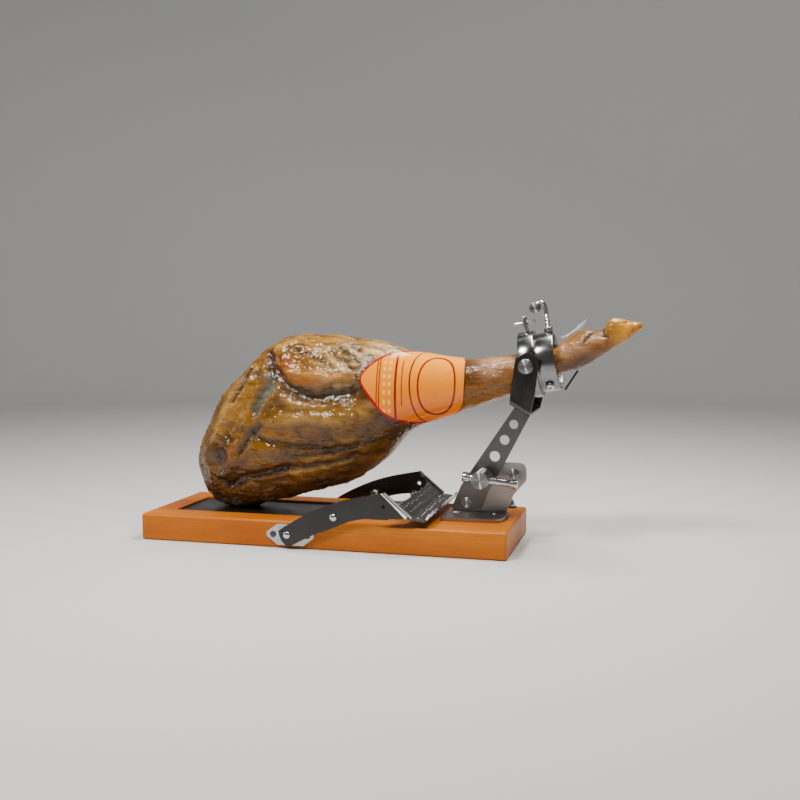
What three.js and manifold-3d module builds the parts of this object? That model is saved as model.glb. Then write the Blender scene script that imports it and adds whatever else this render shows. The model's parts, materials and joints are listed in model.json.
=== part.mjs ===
// A cured ham held in its carving stand: a wooden board with a steel inset plate, a tilting post
// with a yoke, a swivelling head with clamp screws, and a folding toothed cradle.
// Millimetres, +Z up. The origin is the middle of the board's underside, +X points along the board
// towards the ham's foot, and +Y points to the back.

import * as THREE from "three";
import { mergeVertices } from "three/addons/utils/BufferGeometryUtils.js";
import Module from "manifold-3d";

const wasm = await Module();
wasm.setup();

// ---------------------------------------------------------------- driving dimensions

const GAP = 0.3; // clearance kept between pieces that touch
const ROUND = 10; // sides of a small turned piece
const RING_ROUND = 30; // sides of the two head rings

const BOARD = { length: 560, width: 200, height: 40, corner: 4, arris: 2.5 };
const RECESS = { left: -243, right: 97, halfWidth: 57, depth: 5.5 };
const INSET = { thickness: 2.5, clearance: 0.5 };
const PLATE_TOP = BOARD.height - RECESS.depth + GAP + INSET.thickness;

const SHEET = 4; // post and yoke
const THIN = 3; // cradle
const HEAD_Y = 18; // the plane in which the post, the yoke and the ham are centred
const POST_FRONT = HEAD_Y - SHEET / 2;
const POST_BACK = HEAD_Y + SHEET / 2;
const WOOD_SCREW = { head: 7.5, shank: 3.6, depth: 26 };

// Foot bracket: a flange screwed to the board, with a lug standing behind the post.
const FOOT = { left: 173, right: 264, front: -41, thickness: 5 };
const FOOT_BOTTOM = BOARD.height + GAP;
const FOOT_TOP = FOOT_BOTTOM + FOOT.thickness;
const LUG_FRONT = POST_BACK + GAP;
const LUG_BACK = LUG_FRONT + FOOT.thickness;
const FOOT_SCREWS = { left: [186, 4], right: [246, 4] };
const PIVOT = [201, 58]; // x, z of the post's hinge
const PIVOT_SHANK = 5;
const CLAMP = [228, 99]; // x, z of the clamp knob's axis
const CLAMP_STUD = 5;
const TILT_RANGE = 8; // degrees that the post leans back before it meets the stop bolt
const STOP_BOLT = { place: [271, 103], head: 8, shank: 4 };
const STUD = { place: [257, 88], radius: 2.5 }; // a small stud behind the lug
const POST_HOLES = [
  { place: [243, 129.5], radius: 8.2 },
  { place: [257.5, 154.5], radius: 7.6 },
  { place: [271, 178], radius: 7 },
];

const KNOB = { radius: 13, front: -27 };
const TOMMY = { y: -13, radius: 5.6, capRadius: 7.4, capLength: 11, left: -28, right: 54, tilt: 6.3 };

// Head: the collar ring hangs on two trunnions in the yoke, the clamp ring swivels inside it.
const TRUNNION = [296.5, 267]; // x, z
const TRUNNION_SHANK = 5;
const HEAD_TILT = 9.5; // degrees that the ring axis rises towards the foot of the ham
const COLLAR = { outer: 49, inner: 41.9, halfLength: 11.4 };
const CLAMP_RING = { outer: 43, inner: 38, start: 14.6, end: 38.8, neckOuter: 41.5, neckStart: -9 };
const CRANK = { along: 32.4, stem: 4.3, rod: 2.9, knobRadius: 8.2, knobThickness: 12 };
const CRANK_KNOB = [-14.2, 80.5]; // along the ring axis from the stem, and outwards
const LOCK = { radius: 4.3, top: 71, barRadius: 2.4, barHalf: 16.5, barHeight: 62 };
const SPIKE = { along: 26, roll: 47, head: 6.4, stem: 3.4 };
const YOKE_HALF = 60; // outer faces of the yoke, either side of HEAD_Y
const WEB_LEFT = [273, 212]; // the underside of the yoke's web runs square to the post
const WEB_RIGHT = [302, 195];

// Cradle: two curved arms hinged on the board's long sides, and a toothed plate across them.
const HINGE = [-41, 21]; // x, z
const HINGE_PLATE = { x: -37.5, z: 20.5, halfLength: 36.5, halfHeight: 15.5, thickness: 2.5 };
const ARM_Y = BOARD.width / 2 + GAP + HINGE_PLATE.thickness + 1.5; // inner face of an arm
const CROSS = { top: [104.5, 88.5], fold: [144.5, 54.5], lip: [165, 52.5], tooth: [168.5, 60] };
const TEETH = { count: 9, depth: 6.5 };
const DOME = { radius: 5.6, height: 3 }; // screw heads on the arms
const ARM_SCREW = [30.5, 50.5];
const ARM_NUT = { radius: 5.6, length: 11 };
const ARM_HOLE = { place: [105, 69], radius: 3.2 };

// Ham: stations along it, each with its x, top, bottom and half width.
const STATIONS = [
  [-236, 110, 104, 2],
  [-232, 127, 90, 15],
  [-222, 152, 69, 29],
  [-204, 190, 44, 44],
  [-180, 229, PLATE_TOP + GAP, 56],
  [-148, 257, PLATE_TOP + GAP, 65],
  [-115, 290, 45, 71],
  [-80, 306, 55, 73],
  [-20, 308, 71, 72],
  [35, 306.5, 91, 68],
  [80, 299, 124, 60],
  [115, 286, 163, 50],
  [145, 280.5, 179, 43],
  [190, 274.5, 194, 37],
  [235, 277.5, 210.5, 31],
  [275, 281.5, 225, 27],
  [322, 287, 247, 22],
  [345, 304, 255, 23],
  [372, 317, 264, 25],
  [397, 318.5, 279, 21.5],
  [412, 334, 288.5, 20],
  [432, 332, 301, 15.5],
  [448, 329.5, 314.5, 9],
  [453, 328, 319.5, 5],
];
const HAM_BUTT_Y = 14; // the butt lies a little nearer the front than the head
const HAM_AROUND = 16;
const HAM_ALONG = 32;

// The paper label: a leaf of paper wrapped round the front of the shank.
const LABEL = {
  left: 52,
  right: 203.5,
  halfGirth: 70.5,
  tipAngle: 23,
  endAngle: 15.5,
  lift: 3.2,
  thickness: 0.7,
  along: 9,
  across: 10,
};

// ---------------------------------------------------------------- materials

const material = (color, roughness, metalness) =>
  new THREE.MeshStandardMaterial({ color, roughness, metalness });

const MATERIALS = {
  wood: material(0xc9772f, 0.45, 0),
  brushed: material(0x9a9794, 0.4, 1),
  polished: material(0xc4c4c4, 0.18, 1),
  greyPlate: material(0xc8cac8, 0.6, 0.2),
  dark: material(0x1c1b1a, 0.6, 0),
  skin: material(0x8a5a22, 0.35, 0),
  label: material(0xe88a12, 0.3, 0),
  tag: material(0xd8d4c8, 0.3, 0),
};

// ---------------------------------------------------------------- helpers

const radians = THREE.MathUtils.degToRad;
const points2 = (list) => list.map(([x, y]) => new THREE.Vector2(x, y));

// A closed BufferGeometry as a manifold-3d solid.
function solid(geometry) {
  const bare = geometry.clone();
  bare.deleteAttribute("normal");
  bare.deleteAttribute("uv");
  const merged = mergeVertices(bare, 1e-3);
  return new wasm.Manifold(
    new wasm.Mesh({
      numProp: 3,
      vertProperties: merged.attributes.position.array,
      triVerts: new Uint32Array(merged.index.array),
    }),
  );
}

// A manifold-3d solid back as a BufferGeometry.
function geometryOf(made) {
  const { vertProperties, triVerts } = made.getMesh();
  const geometry = new THREE.BufferGeometry();
  geometry.setAttribute("position", new THREE.BufferAttribute(vertProperties, 3));
  geometry.setIndex(new THREE.BufferAttribute(triVerts, 1));
  geometry.computeVertexNormals();
  return geometry;
}

const cut = (body, ...tools) => tools.reduce((rest, tool) => rest.subtract(solid(tool)), solid(body));
const join = (...bodies) => bodies.map(solid).reduce((sum, next) => sum.add(next));

// An outline whose corners are rounded: each corner is [x, y, radius].
function outline(corners) {
  const shape = new THREE.Shape();
  const count = corners.length;
  corners.forEach(([x, y, radius = 0], i) => {
    const corner = new THREE.Vector2(x, y);
    const before = new THREE.Vector2(...corners[(i + count - 1) % count].slice(0, 2)).sub(corner);
    const after = new THREE.Vector2(...corners[(i + 1) % count].slice(0, 2)).sub(corner);
    const half = before.angleTo(after) / 2;
    const reach = radius / Math.tan(half);
    const start = corner.clone().addScaledVector(before.normalize(), reach);
    const end = corner.clone().addScaledVector(after.normalize(), reach);
    if (i === 0) shape.moveTo(start.x, start.y);
    else shape.lineTo(start.x, start.y);
    if (radius) shape.quadraticCurveTo(x, y, end.x, end.y);
  });
  shape.closePath();
  return shape;
}

// A plate standing in the XZ plane, between two values of Y.
const uprightPlate = (shape, y0, y1, curveSegments = 3) =>
  new THREE.ExtrudeGeometry(shape, { depth: y1 - y0, bevelEnabled: false, curveSegments })
    .rotateX(Math.PI / 2)
    .translate(0, y1, 0);

// A plate lying in the XY plane, between two heights.
const flatPlate = (shape, z0, z1, curveSegments = 3) =>
  new THREE.ExtrudeGeometry(shape, { depth: z1 - z0, bevelEnabled: false, curveSegments })
    .translate(0, 0, z0);

// Turned pieces: a profile of [radius, height] about Z, about Y, and about X.
const turnedZ = (profile, sides = ROUND) =>
  new THREE.LatheGeometry(points2(profile), sides).rotateX(Math.PI / 2);
const turnedY = (profile, sides = ROUND) => new THREE.LatheGeometry(points2(profile), sides);
const turnedX = (profile, sides = ROUND) => turnedY(profile, sides).rotateZ(-Math.PI / 2);

const rodProfile = (radius, from, to, chamfer = 0) => [
  [0, from],
  [radius - chamfer, from],
  ...(chamfer ? [[radius, from + chamfer], [radius, to - chamfer]] : []),
  [radius - chamfer, to],
  [0, to],
];
const rodZ = (radius, from, to, chamfer) => turnedZ(rodProfile(radius, from, to, chamfer));
const rodY = (radius, from, to, chamfer) => turnedY(rodProfile(radius, from, to, chamfer));
const rodX = (radius, from, to, chamfer) => turnedX(rodProfile(radius, from, to, chamfer));

const root = new THREE.Group();

// Adds a named mesh, by default to the part itself.
function place(name, geometry, look, parent = root) {
  const mesh = new THREE.Mesh(geometry.isBufferGeometry ? geometry : geometryOf(geometry), look);
  mesh.name = name;
  parent.add(mesh);
  return mesh;
}

// A rounded rectangle given by its sides.
const rectangle = (x0, y0, x1, y1, radius) =>
  outline([[x0, y0, radius], [x1, y0, radius], [x1, y1, radius], [x0, y1, radius]]);

// ---------------------------------------------------------------- board and inset plate

function boardBody() {
  const { length, width, height, corner, arris } = BOARD;
  const plan = rectangle(
    -length / 2 + arris,
    -width / 2 + arris,
    length / 2 - arris,
    width / 2 - arris,
    corner - arris,
  );
  const block = new THREE.ExtrudeGeometry(plan, {
    depth: height - 2 * arris,
    bevelThickness: arris,
    bevelSize: arris,
    bevelSegments: 1,
    curveSegments: 2,
  }).translate(0, 0, arris);
  const floor = height - RECESS.depth;
  const recess = flatPlate(
    rectangle(RECESS.left, -RECESS.halfWidth, RECESS.right, RECESS.halfWidth, 3),
    floor,
    height + 1,
  );
  const clearHole = WOOD_SCREW.shank + GAP;
  const footHoles = Object.values(FOOT_SCREWS).map(([x, y]) =>
    rodZ(clearHole, height - WOOD_SCREW.depth, height + 1).translate(x, y, 0),
  );
  const studHole = rodZ(STUD.radius + GAP, height - 15, height + 1).translate(...STUD.place, 0);
  const sideHoles = [-1, 1].flatMap((side) =>
    hingeScrewPlaces().map(([x, z]) =>
      rodY(clearHole, -20, 20).translate(x, (side * width) / 2, z),
    ),
  );
  return cut(block, recess, studHole, ...footHoles, ...sideHoles);
}

function insetPlate() {
  const { left, right, halfWidth, depth } = RECESS;
  const c = INSET.clearance;
  const plan = rectangle(left + c, -halfWidth + c, right - c, halfWidth - c, 3);
  const bottom = BOARD.height - depth + GAP;
  return flatPlate(plan, bottom, bottom + INSET.thickness);
}

// ---------------------------------------------------------------- foot bracket

// The slot in the lug that the clamp stud runs in as the post tilts, an arc about the pivot.
function clampSlot(radius, tiltRange) {
  const [px, pz] = PIVOT;
  const reach = Math.hypot(CLAMP[0] - px, CLAMP[1] - pz);
  const high = Math.atan2(CLAMP[1] - pz, CLAMP[0] - px) + radians(1);
  const low = high - radians(tiltRange + 2);
  const shape = new THREE.Shape();
  const capCentre = (angle) => [px + reach * Math.cos(angle), pz + reach * Math.sin(angle)];
  shape.absarc(px, pz, reach + radius, low, high, false);
  shape.absarc(...capCentre(high), radius, high, high + Math.PI, false);
  shape.absarc(px, pz, reach - radius, high, low, true);
  shape.absarc(...capCentre(low), radius, low + Math.PI, low + 2 * Math.PI, false);
  return shape;
}

function footBracket() {
  const { left, right, front } = FOOT;
  const flange = flatPlate(
    outline([[left, front, 2], [right, front, 24], [right, LUG_BACK, 3], [left, LUG_BACK, 2]]),
    FOOT_BOTTOM,
    FOOT_TOP,
  );
  const lug = uprightPlate(
    outline([
      [178, FOOT_BOTTOM, 0],
      [258, FOOT_BOTTOM, 0],
      [271, 72, 8],
      [290, 94, 10],
      [289, 120, 12],
      [256, 120, 20],
      [214, 106, 20],
      [182, 62, 10],
    ]),
    LUG_FRONT,
    LUG_BACK,
  );
  const through = [LUG_FRONT - 1, LUG_BACK + 1];
  const slot = uprightPlate(clampSlot(CLAMP_STUD + GAP, TILT_RANGE + 6), ...through, 5);
  const pivotHole = rodY(PIVOT_SHANK + GAP, ...through).translate(PIVOT[0], 0, PIVOT[1]);
  const boltHole = rodY(STOP_BOLT.shank + GAP, ...through)
    .translate(STOP_BOLT.place[0], 0, STOP_BOLT.place[1]);
  const { head, shank } = WOOD_SCREW;
  const sinks = Object.values(FOOT_SCREWS).map(([x, y]) =>
    turnedZ([
      [0, FOOT_BOTTOM - 1],
      [shank + GAP, FOOT_BOTTOM - 1],
      [shank + GAP, FOOT_TOP - 4.4],
      [head + 2 * GAP, FOOT_TOP - 0.6],
      [head + 2 * GAP, FOOT_TOP + 1],
      [0, FOOT_TOP + 1],
    ]).translate(x, y, 0),
  );
  const whole = join(flange, lug);
  const tools = [slot, pivotHole, boltHole, ...sinks];
  return tools.reduce((rest, tool) => rest.subtract(solid(tool)), whole);
}

function woodScrewDown() {
  const { head, shank, depth } = WOOD_SCREW;
  const top = FOOT_TOP - 0.5;
  return turnedZ([
    [0, BOARD.height - depth + GAP],
    [shank, BOARD.height - depth + 4],
    [shank, top - 3.6],
    [head, top - 0.5],
    [head, top],
    [0, top],
  ]);
}

// A bolt along Y: a head with a chamfered rim in front of y0, and a shank back to y1.
function bolt(headRadius, headThickness, shank, y0, y1) {
  return turnedY([
    [0, y0 - headThickness],
    [headRadius - 1, y0 - headThickness],
    [headRadius, y0 - headThickness + 1],
    [headRadius, y0],
    [shank, y0],
    [shank, y1],
    [0, y1],
  ]);
}

const hexNut = (radius, y0, y1) => turnedY(rodProfile(radius, y0, y1), 6);

// A six-sided nut on a shank along Y, with a bore that clears the shank.
const boredNut = (radius, bore, y0, y1) => cut(hexNut(radius, y0, y1), rodY(bore, y0 - 1, y1 + 1));

function cornerStud() {
  return turnedZ([
    [0, BOARD.height - 14],
    [STUD.radius, BOARD.height - 14],
    [STUD.radius, BOARD.height + 2 + 2 * GAP],
    [6, BOARD.height + 2 + 2 * GAP],
    [6, BOARD.height + 5],
    [3.4, BOARD.height + 12],
    [2.2, BOARD.height + 13],
    [2.2, BOARD.height + 21],
    [0, BOARD.height + 21],
  ]);
}

function cornerWasher() {
  const bottom = BOARD.height + GAP;
  return cut(rodZ(9, bottom, bottom + 2), rodZ(STUD.radius + GAP, bottom - 1, bottom + 3));
}

// ---------------------------------------------------------------- post and yoke

// The post leans towards the foot of the ham and narrows towards the yoke.
function postPlate() {
  const plate = uprightPlate(
    outline([
      [177, 47.5, 2],
      [214, 47.5, 0],
      [222, 49.2, 2],
      [232, 75, 12],
      [251, 106, 20],
      [WEB_RIGHT[0] - 4.5, WEB_RIGHT[1] + 2, 0],
      [WEB_LEFT[0] + 3.2, WEB_LEFT[1] - 2.6, 0],
      [208, 108, 20],
      [192, 84, 12],
    ]),
    POST_FRONT,
    POST_BACK,
  );
  const through = [POST_FRONT - 1, POST_BACK + 1];
  const hole = (radius, [x, z]) => rodY(radius, ...through).translate(x, 0, z);
  return cut(
    plate,
    hole(PIVOT_SHANK + GAP, PIVOT),
    hole(CLAMP_STUD + GAP, CLAMP),
    ...POST_HOLES.map(({ place: centre, radius }) => hole(radius, centre)),
  );
}

// One bent strip: a U of sheet along the web's slope, trimmed to the straps' outline.
function yoke() {
  const slope = Math.atan2(WEB_RIGHT[1] - WEB_LEFT[1], WEB_RIGHT[0] - WEB_LEFT[0]);
  const top = 115;
  const bend = 6;
  const inner = YOKE_HALF - SHEET;
  const profile = outline([
    [-YOKE_HALF, 0, bend],
    [YOKE_HALF, 0, bend],
    [YOKE_HALF, top, 0],
    [inner, top, 0],
    [inner, SHEET, bend - SHEET],
    [-inner, SHEET, bend - SHEET],
    [-inner, top, 0],
    [-YOKE_HALF, top, 0],
  ]);
  const run = 160;
  const bent = { depth: run, bevelEnabled: false, curveSegments: 4 };
  const channel = new THREE.ExtrudeGeometry(profile, bent)
    .translate(0, 0, -run / 2)
    .rotateX(Math.PI / 2)
    .rotateZ(Math.PI / 2)
    .rotateY(-slope)
    .translate(WEB_LEFT[0], HEAD_Y, WEB_LEFT[1]);
  const straps = uprightPlate(
    outline([
      [WEB_LEFT[0], WEB_LEFT[1], 0],
      [WEB_RIGHT[0], WEB_RIGHT[1], 0],
      [309, 226, 12],
      [315, 277, 8],
      [298.5, 288, 9],
      [281.5, 279, 8],
      [275.5, 236, 12],
    ]),
    HEAD_Y - YOKE_HALF - 1,
    HEAD_Y + YOKE_HALF + 1,
  );
  const bore = rodY(TRUNNION_SHANK + GAP, HEAD_Y - YOKE_HALF - 2, HEAD_Y + YOKE_HALF + 2)
    .translate(TRUNNION[0], 0, TRUNNION[1]);
  return solid(channel).intersect(solid(straps)).subtract(solid(bore));
}

// ---------------------------------------------------------------- clamp knob

const clampKnob = () =>
  turnedY([
    [0, KNOB.front + 0.8],
    [KNOB.radius - 2.5, KNOB.front],
    [KNOB.radius - 1.2, KNOB.front],
    [KNOB.radius, KNOB.front + 1.2],
    [KNOB.radius, POST_FRONT - GAP],
    [CLAMP_STUD, POST_FRONT - GAP],
    [CLAMP_STUD, LUG_BACK + 10],
    [0, LUG_BACK + 10],
  ], 24);

const tommyBore = () =>
  rodX(TOMMY.radius + GAP, -KNOB.radius - 2, KNOB.radius + 2).translate(0, TOMMY.y, 0);

// A cap over the end of the bar: its mouth faces along the bar, right (1) or left (-1).
function tommyCap(from, to, mouth) {
  const wall = 4 + GAP;
  const socket = mouth === 1 ? [to - wall, to + 1] : [from - 1, from + wall];
  const cap = cut(rodX(TOMMY.capRadius, from, to, 1), rodX(TOMMY.radius + GAP, ...socket));
  return cap.translate([0, TOMMY.y, 0]);
}

// ---------------------------------------------------------------- head

// A ring about X: a closed profile of [radius, position along the axis].
const ring = (profile) => turnedX([...profile, profile[0]], RING_ROUND);

function collarRing() {
  const { outer, inner, halfLength: end } = COLLAR;
  const body = ring([
    [inner, -end],
    [outer - 1, -end],
    [outer, -end + 1],
    [outer, end - 1],
    [outer - 1, end],
    [inner, end],
  ]);
  return cut(
    body,
    rodY(TRUNNION_SHANK + GAP, -outer - 1, -inner + 1),
    rodY(TRUNNION_SHANK + GAP, inner - 1, outer + 1),
    rodZ(LOCK.radius + GAP, inner - 1, outer + 1),
  );
}

function clampRing() {
  const { outer, inner, start, end, neckOuter, neckStart } = CLAMP_RING;
  const body = ring([
    [inner, neckStart],
    [neckOuter, neckStart],
    [neckOuter, start],
    [outer - 0.8, start],
    [outer, start + 0.8],
    [outer, end - 1],
    [outer - 1, end],
    [inner, end],
  ]);
  const crankHole = rodZ(CRANK.stem + GAP, inner - 2, outer + 1).translate(CRANK.along, 0, 0);
  const spikeHoles = [-1, 1].map((side) =>
    rollSpike(rodZ(SPIKE.stem + GAP, inner - 2, outer + 1), side),
  );
  return cut(body, crankHole, ...spikeHoles);
}

// Turns a piece that points up about the ring axis, to the lower front (-1) or lower back (1).
const rollSpike = (geometry, side) =>
  geometry.translate(SPIKE.along, 0, 0).rotateX(-side * (Math.PI / 2 + radians(SPIKE.roll)));

const spikeScrew = () =>
  turnedZ([
    [0, 28],
    [0.8, 28.4],
    [SPIKE.stem, 35],
    [SPIKE.stem, CLAMP_RING.outer + GAP],
    [SPIKE.head, CLAMP_RING.outer + GAP],
    [SPIKE.head, CLAMP_RING.outer + 6],
    [SPIKE.head - 1, CLAMP_RING.outer + 7],
    [0, CLAMP_RING.outer + 7],
  ]);

// The clamp screw's stem, and the round rod that turns over at its top into a crook.
function crankScrew() {
  const stem = turnedZ([
    [0, 20.5],
    [0.8, 21],
    [CRANK.stem, 28],
    [CRANK.stem, 71],
    [CRANK.rod, 73],
    [0, 73],
  ]);
  const crook = new THREE.CatmullRomCurve3([
    new THREE.Vector3(0, 0, 66),
    new THREE.Vector3(0.4, 0, 76),
    new THREE.Vector3(-0.8, 0, 83),
    new THREE.Vector3(-5.2, 0, 87),
    new THREE.Vector3(-10.5, 0, 86.4),
    new THREE.Vector3(CRANK_KNOB[0] + 3, 0, CRANK_KNOB[1] + CRANK.knobRadius - 3),
  ]);
  const section = new THREE.Shape().absarc(0, 0, CRANK.rod, 0, 2 * Math.PI, false);
  const rod = new THREE.ExtrudeGeometry(section, {
    steps: 14,
    curveSegments: 4,
    bevelEnabled: false,
    extrudePath: crook,
  });
  const knobSpace = rodY(CRANK.knobRadius + GAP, -20, 20).translate(CRANK_KNOB[0], 0, CRANK_KNOB[1]);
  return join(stem, rod).subtract(solid(knobSpace));
}

const crankKnob = () =>
  rodY(CRANK.knobRadius, -CRANK.knobThickness / 2, CRANK.knobThickness / 2, 1.5)
    .translate(CRANK_KNOB[0], 0, CRANK_KNOB[1]);

const lockPin = () =>
  cut(
    rodZ(LOCK.radius, CLAMP_RING.neckOuter + GAP, LOCK.top, 0.8),
    rodX(LOCK.barRadius + GAP, -LOCK.radius - 1, LOCK.radius + 1).translate(0, 0, LOCK.barHeight),
  );

// ---------------------------------------------------------------- cradle

// The two screws of a hinge plate, and the pivot between them.
function hingeScrewPlaces() {
  const reach = HINGE_PLATE.halfLength - 10;
  const ends = [-1, 1].map((end) => [HINGE_PLATE.x + end * reach, HINGE_PLATE.z]);
  return [...ends, HINGE];
}

// Everything on the cradle's sides is drawn on the front side and mirrored to the back.
function hingePlate() {
  const { x, z, halfLength, halfHeight, thickness } = HINGE_PLATE;
  const corners = [
    [1, 0.2, 3],
    [0.55, 1, 4],
    [-0.55, 1, 4],
    [-1, 0.2, 3],
    [-1, -0.2, 3],
    [-0.55, -1, 4],
    [0.55, -1, 4],
    [1, -0.2, 3],
  ].map(([along, up, radius]) => [x + along * halfLength, z + up * halfHeight, radius]);
  const back = -BOARD.width / 2 - GAP;
  const plate = uprightPlate(outline(corners.reverse()), back - thickness, back);
  const holes = hingeScrewPlaces().map(([hx, hz]) =>
    rodY(WOOD_SCREW.shank + GAP, back - thickness - 1, back + 1).translate(hx, 0, hz),
  );
  return cut(plate, ...holes);
}

// A dome-headed screw along Y, whose head sits in front of y0.
const domeScrew = (y0, y1) =>
  turnedY([
    [0, y0 - DOME.height],
    [DOME.radius * 0.5, y0 - DOME.height * 0.85],
    [DOME.radius * 0.87, y0 - DOME.height * 0.5],
    [DOME.radius, y0],
    [WOOD_SCREW.shank, y0],
    [WOOD_SCREW.shank, y1],
    [0, y1],
  ]);

function cradleArm() {
  const shape = new THREE.Shape();
  shape.moveTo(-54, 27);
  shape.splineThru(points2([[-20, 48], [18, 66], [56, 78.5], CROSS.top]));
  shape.lineTo(...CROSS.fold);
  shape.lineTo(127, 52.5);
  shape.splineThru(points2([[86, 51.5], [56, 46], [26, 33.5], [-2, 22.5], [-37, 4]]));
  shape.quadraticCurveTo(-52, 7, -54, 27);
  const arm = uprightPlate(shape, -ARM_Y - THIN, -ARM_Y, 4);
  const hole = (radius, [x, z]) =>
    rodY(radius, -ARM_Y - THIN - 1, -ARM_Y + 1).translate(x, 0, z);
  return cut(
    arm,
    hole(WOOD_SCREW.shank + GAP, HINGE),
    hole(WOOD_SCREW.shank + GAP, ARM_SCREW),
    hole(ARM_HOLE.radius, ARM_HOLE.place),
  );
}

// A flat blank across the cradle between two points of its side view, its edges set by functions
// of the place across it.
function crossStrip([x0, z0], [x1, z1], halfWidth, topEdge, bottomEdge, steps) {
  const length = Math.hypot(x1 - x0, z1 - z0);
  const across = Array.from({ length: steps + 1 }, (_, i) => -halfWidth + (2 * halfWidth * i) / steps);
  const top = across.map((y) => [y, topEdge(y)]);
  const bottom = across.map((y) => [y, length + bottomEdge(y)]).reverse();
  const shape = new THREE.Shape(points2([...top, ...bottom]));
  const along = new THREE.Vector3(x1 - x0, 0, z1 - z0).normalize();
  const normal = new THREE.Vector3(-along.z, 0, along.x);
  const basis = new THREE.Matrix4()
    .makeBasis(new THREE.Vector3(0, 1, 0), along, normal.clone().negate())
    .setPosition(x0, 0, z0);
  return new THREE.ExtrudeGeometry(shape, { depth: THIN, bevelEnabled: false }).applyMatrix4(basis);
}

// The edge that carries the ham: cut down in two hollows, with a rounded tongue between them.
function notch(y, halfWidth) {
  const t = Math.abs(y) / halfWidth;
  const hollow = 27 * Math.sqrt(Math.max(0, 1 - Math.pow(t, 6)));
  const tongue = 6 * Math.max(0, 1 - Math.pow(t / 0.2, 2));
  return hollow - tongue;
}

const sawtooth = (y, halfWidth) => {
  const phase = ((y + halfWidth) / (2 * halfWidth)) * TEETH.count;
  const toMiddle = Math.abs((phase % 1) - 0.5) * 2;
  return -TEETH.depth * toMiddle;
};

function cradlePlate() {
  const halfWidth = ARM_Y - GAP;
  const flat = () => 0;
  const hollow = (y) => notch(y, halfWidth);
  const teeth = (y) => sawtooth(y, halfWidth);
  const wall = crossStrip(CROSS.top, CROSS.fold, halfWidth, hollow, flat, 32);
  const lip = crossStrip(CROSS.fold, CROSS.lip, halfWidth, flat, flat, 1);
  const saw = crossStrip(CROSS.lip, CROSS.tooth, halfWidth, flat, teeth, 2 * TEETH.count);
  const seam = ([x, z]) => rodY(THIN / 2, -halfWidth, halfWidth).translate(x - 0.3, 0, z - 1.4);
  return join(wall, lip, saw, seam(CROSS.fold), seam(CROSS.lip));
}

// ---------------------------------------------------------------- ham

const stationCurve = (column) =>
  new THREE.CatmullRomCurve3(
    STATIONS.map((row) => new THREE.Vector3(row[0], row[column], 0)),
    false,
    "centripetal",
  );

// Heights and half width of the ham at a place between the stations.
function hamSection(u) {
  const [top, bottom, wide] = [1, 2, 3].map((column) => stationCurve(column).getPoint(u));
  return { x: top.x, top: top.y, bottom: bottom.y, wide: wide.y };
}

const hamMiddle = (x) => THREE.MathUtils.mapLinear(x, STATIONS[0][0], TRUNNION[0], HAM_BUTT_Y, HEAD_Y);

// A point of the skin: u runs from butt to hoof, angle goes round from the front over the top.
function hamPoint(u, angle, proud = 0) {
  const { x, top, bottom, wide } = hamSection(u);
  const squareness = 0.92;
  const bend = (value) => Math.sign(value) * Math.pow(Math.abs(value), squareness);
  const y = Math.min(hamMiddle(x), HEAD_Y) - (wide + proud) * bend(Math.cos(angle));
  const z = (top + bottom) / 2 + ((top - bottom) / 2 + proud) * bend(Math.sin(angle));
  return new THREE.Vector3(x, y, Math.max(z, PLATE_TOP + GAP));
}

// Closes a grid of rows into one body: a skin of quads and a cap at either end.
function loft(rows) {
  const around = rows[0].length;
  const positions = rows.flat();
  const middle = (row) => row.reduce((sum, p) => sum.add(p), new THREE.Vector3()).divideScalar(around);
  const ends = [middle(rows[0]), middle(rows[rows.length - 1])];
  const index = [];
  for (let i = 0; i + 1 < rows.length; i++) {
    for (let j = 0; j < around; j++) {
      const next = (j + 1) % around;
      const [a, b] = [i * around + j, i * around + next];
      const [c, d] = [a + around, b + around];
      index.push(a, d, b, a, c, d);
    }
  }
  const [first, last] = [positions.length, positions.length + 1];
  const lastRow = (rows.length - 1) * around;
  for (let j = 0; j < around; j++) {
    const next = (j + 1) % around;
    index.push(first, j, next, last, lastRow + next, lastRow + j);
  }
  return new THREE.BufferGeometry().setFromPoints([...positions, ...ends]).setIndex(index);
}

function hamBody() {
  const rows = Array.from({ length: HAM_ALONG + 1 }, (_, i) =>
    Array.from({ length: HAM_AROUND }, (__, j) =>
      hamPoint(i / HAM_ALONG, (2 * Math.PI * j) / HAM_AROUND),
    ),
  );
  return loft(rows);
}

function uAt(x) {
  let [low, high] = [0, 1];
  for (let i = 0; i < 30; i++) {
    const middle = (low + high) / 2;
    if (hamSection(middle).x < x) low = middle;
    else high = middle;
  }
  return low;
}

// The label's half width, from 0 at its left tip over 1 past the middle to 0 at its right end.
const leaf = (place) => Math.pow(Math.sin(Math.PI * place * place), 0.33);

function labelWrap() {
  const { left, right, halfGirth, tipAngle, endAngle, lift, thickness, along, across } = LABEL;
  const rowsOf = (proud) =>
    Array.from({ length: along + 1 }, (_, i) => {
      const place = 0.5 - 0.5 * Math.cos(Math.PI * (0.05 + (0.92 * i) / along));
      const u = uAt(left + (right - left) * place);
      const { top, bottom, wide } = hamSection(u);
      const girthRadius = ((top - bottom) / 2 + wide) / 2;
      const half = (halfGirth * leaf(place)) / girthRadius;
      const centre = radians(THREE.MathUtils.lerp(tipAngle, endAngle, Math.min(1, 2 * place)));
      return Array.from({ length: across + 1 }, (__, j) =>
        hamPoint(u, centre + half * ((2 * j) / across - 1), proud),
      );
    });
  return sheetBetween(rowsOf(lift), rowsOf(lift + thickness));
}

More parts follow.
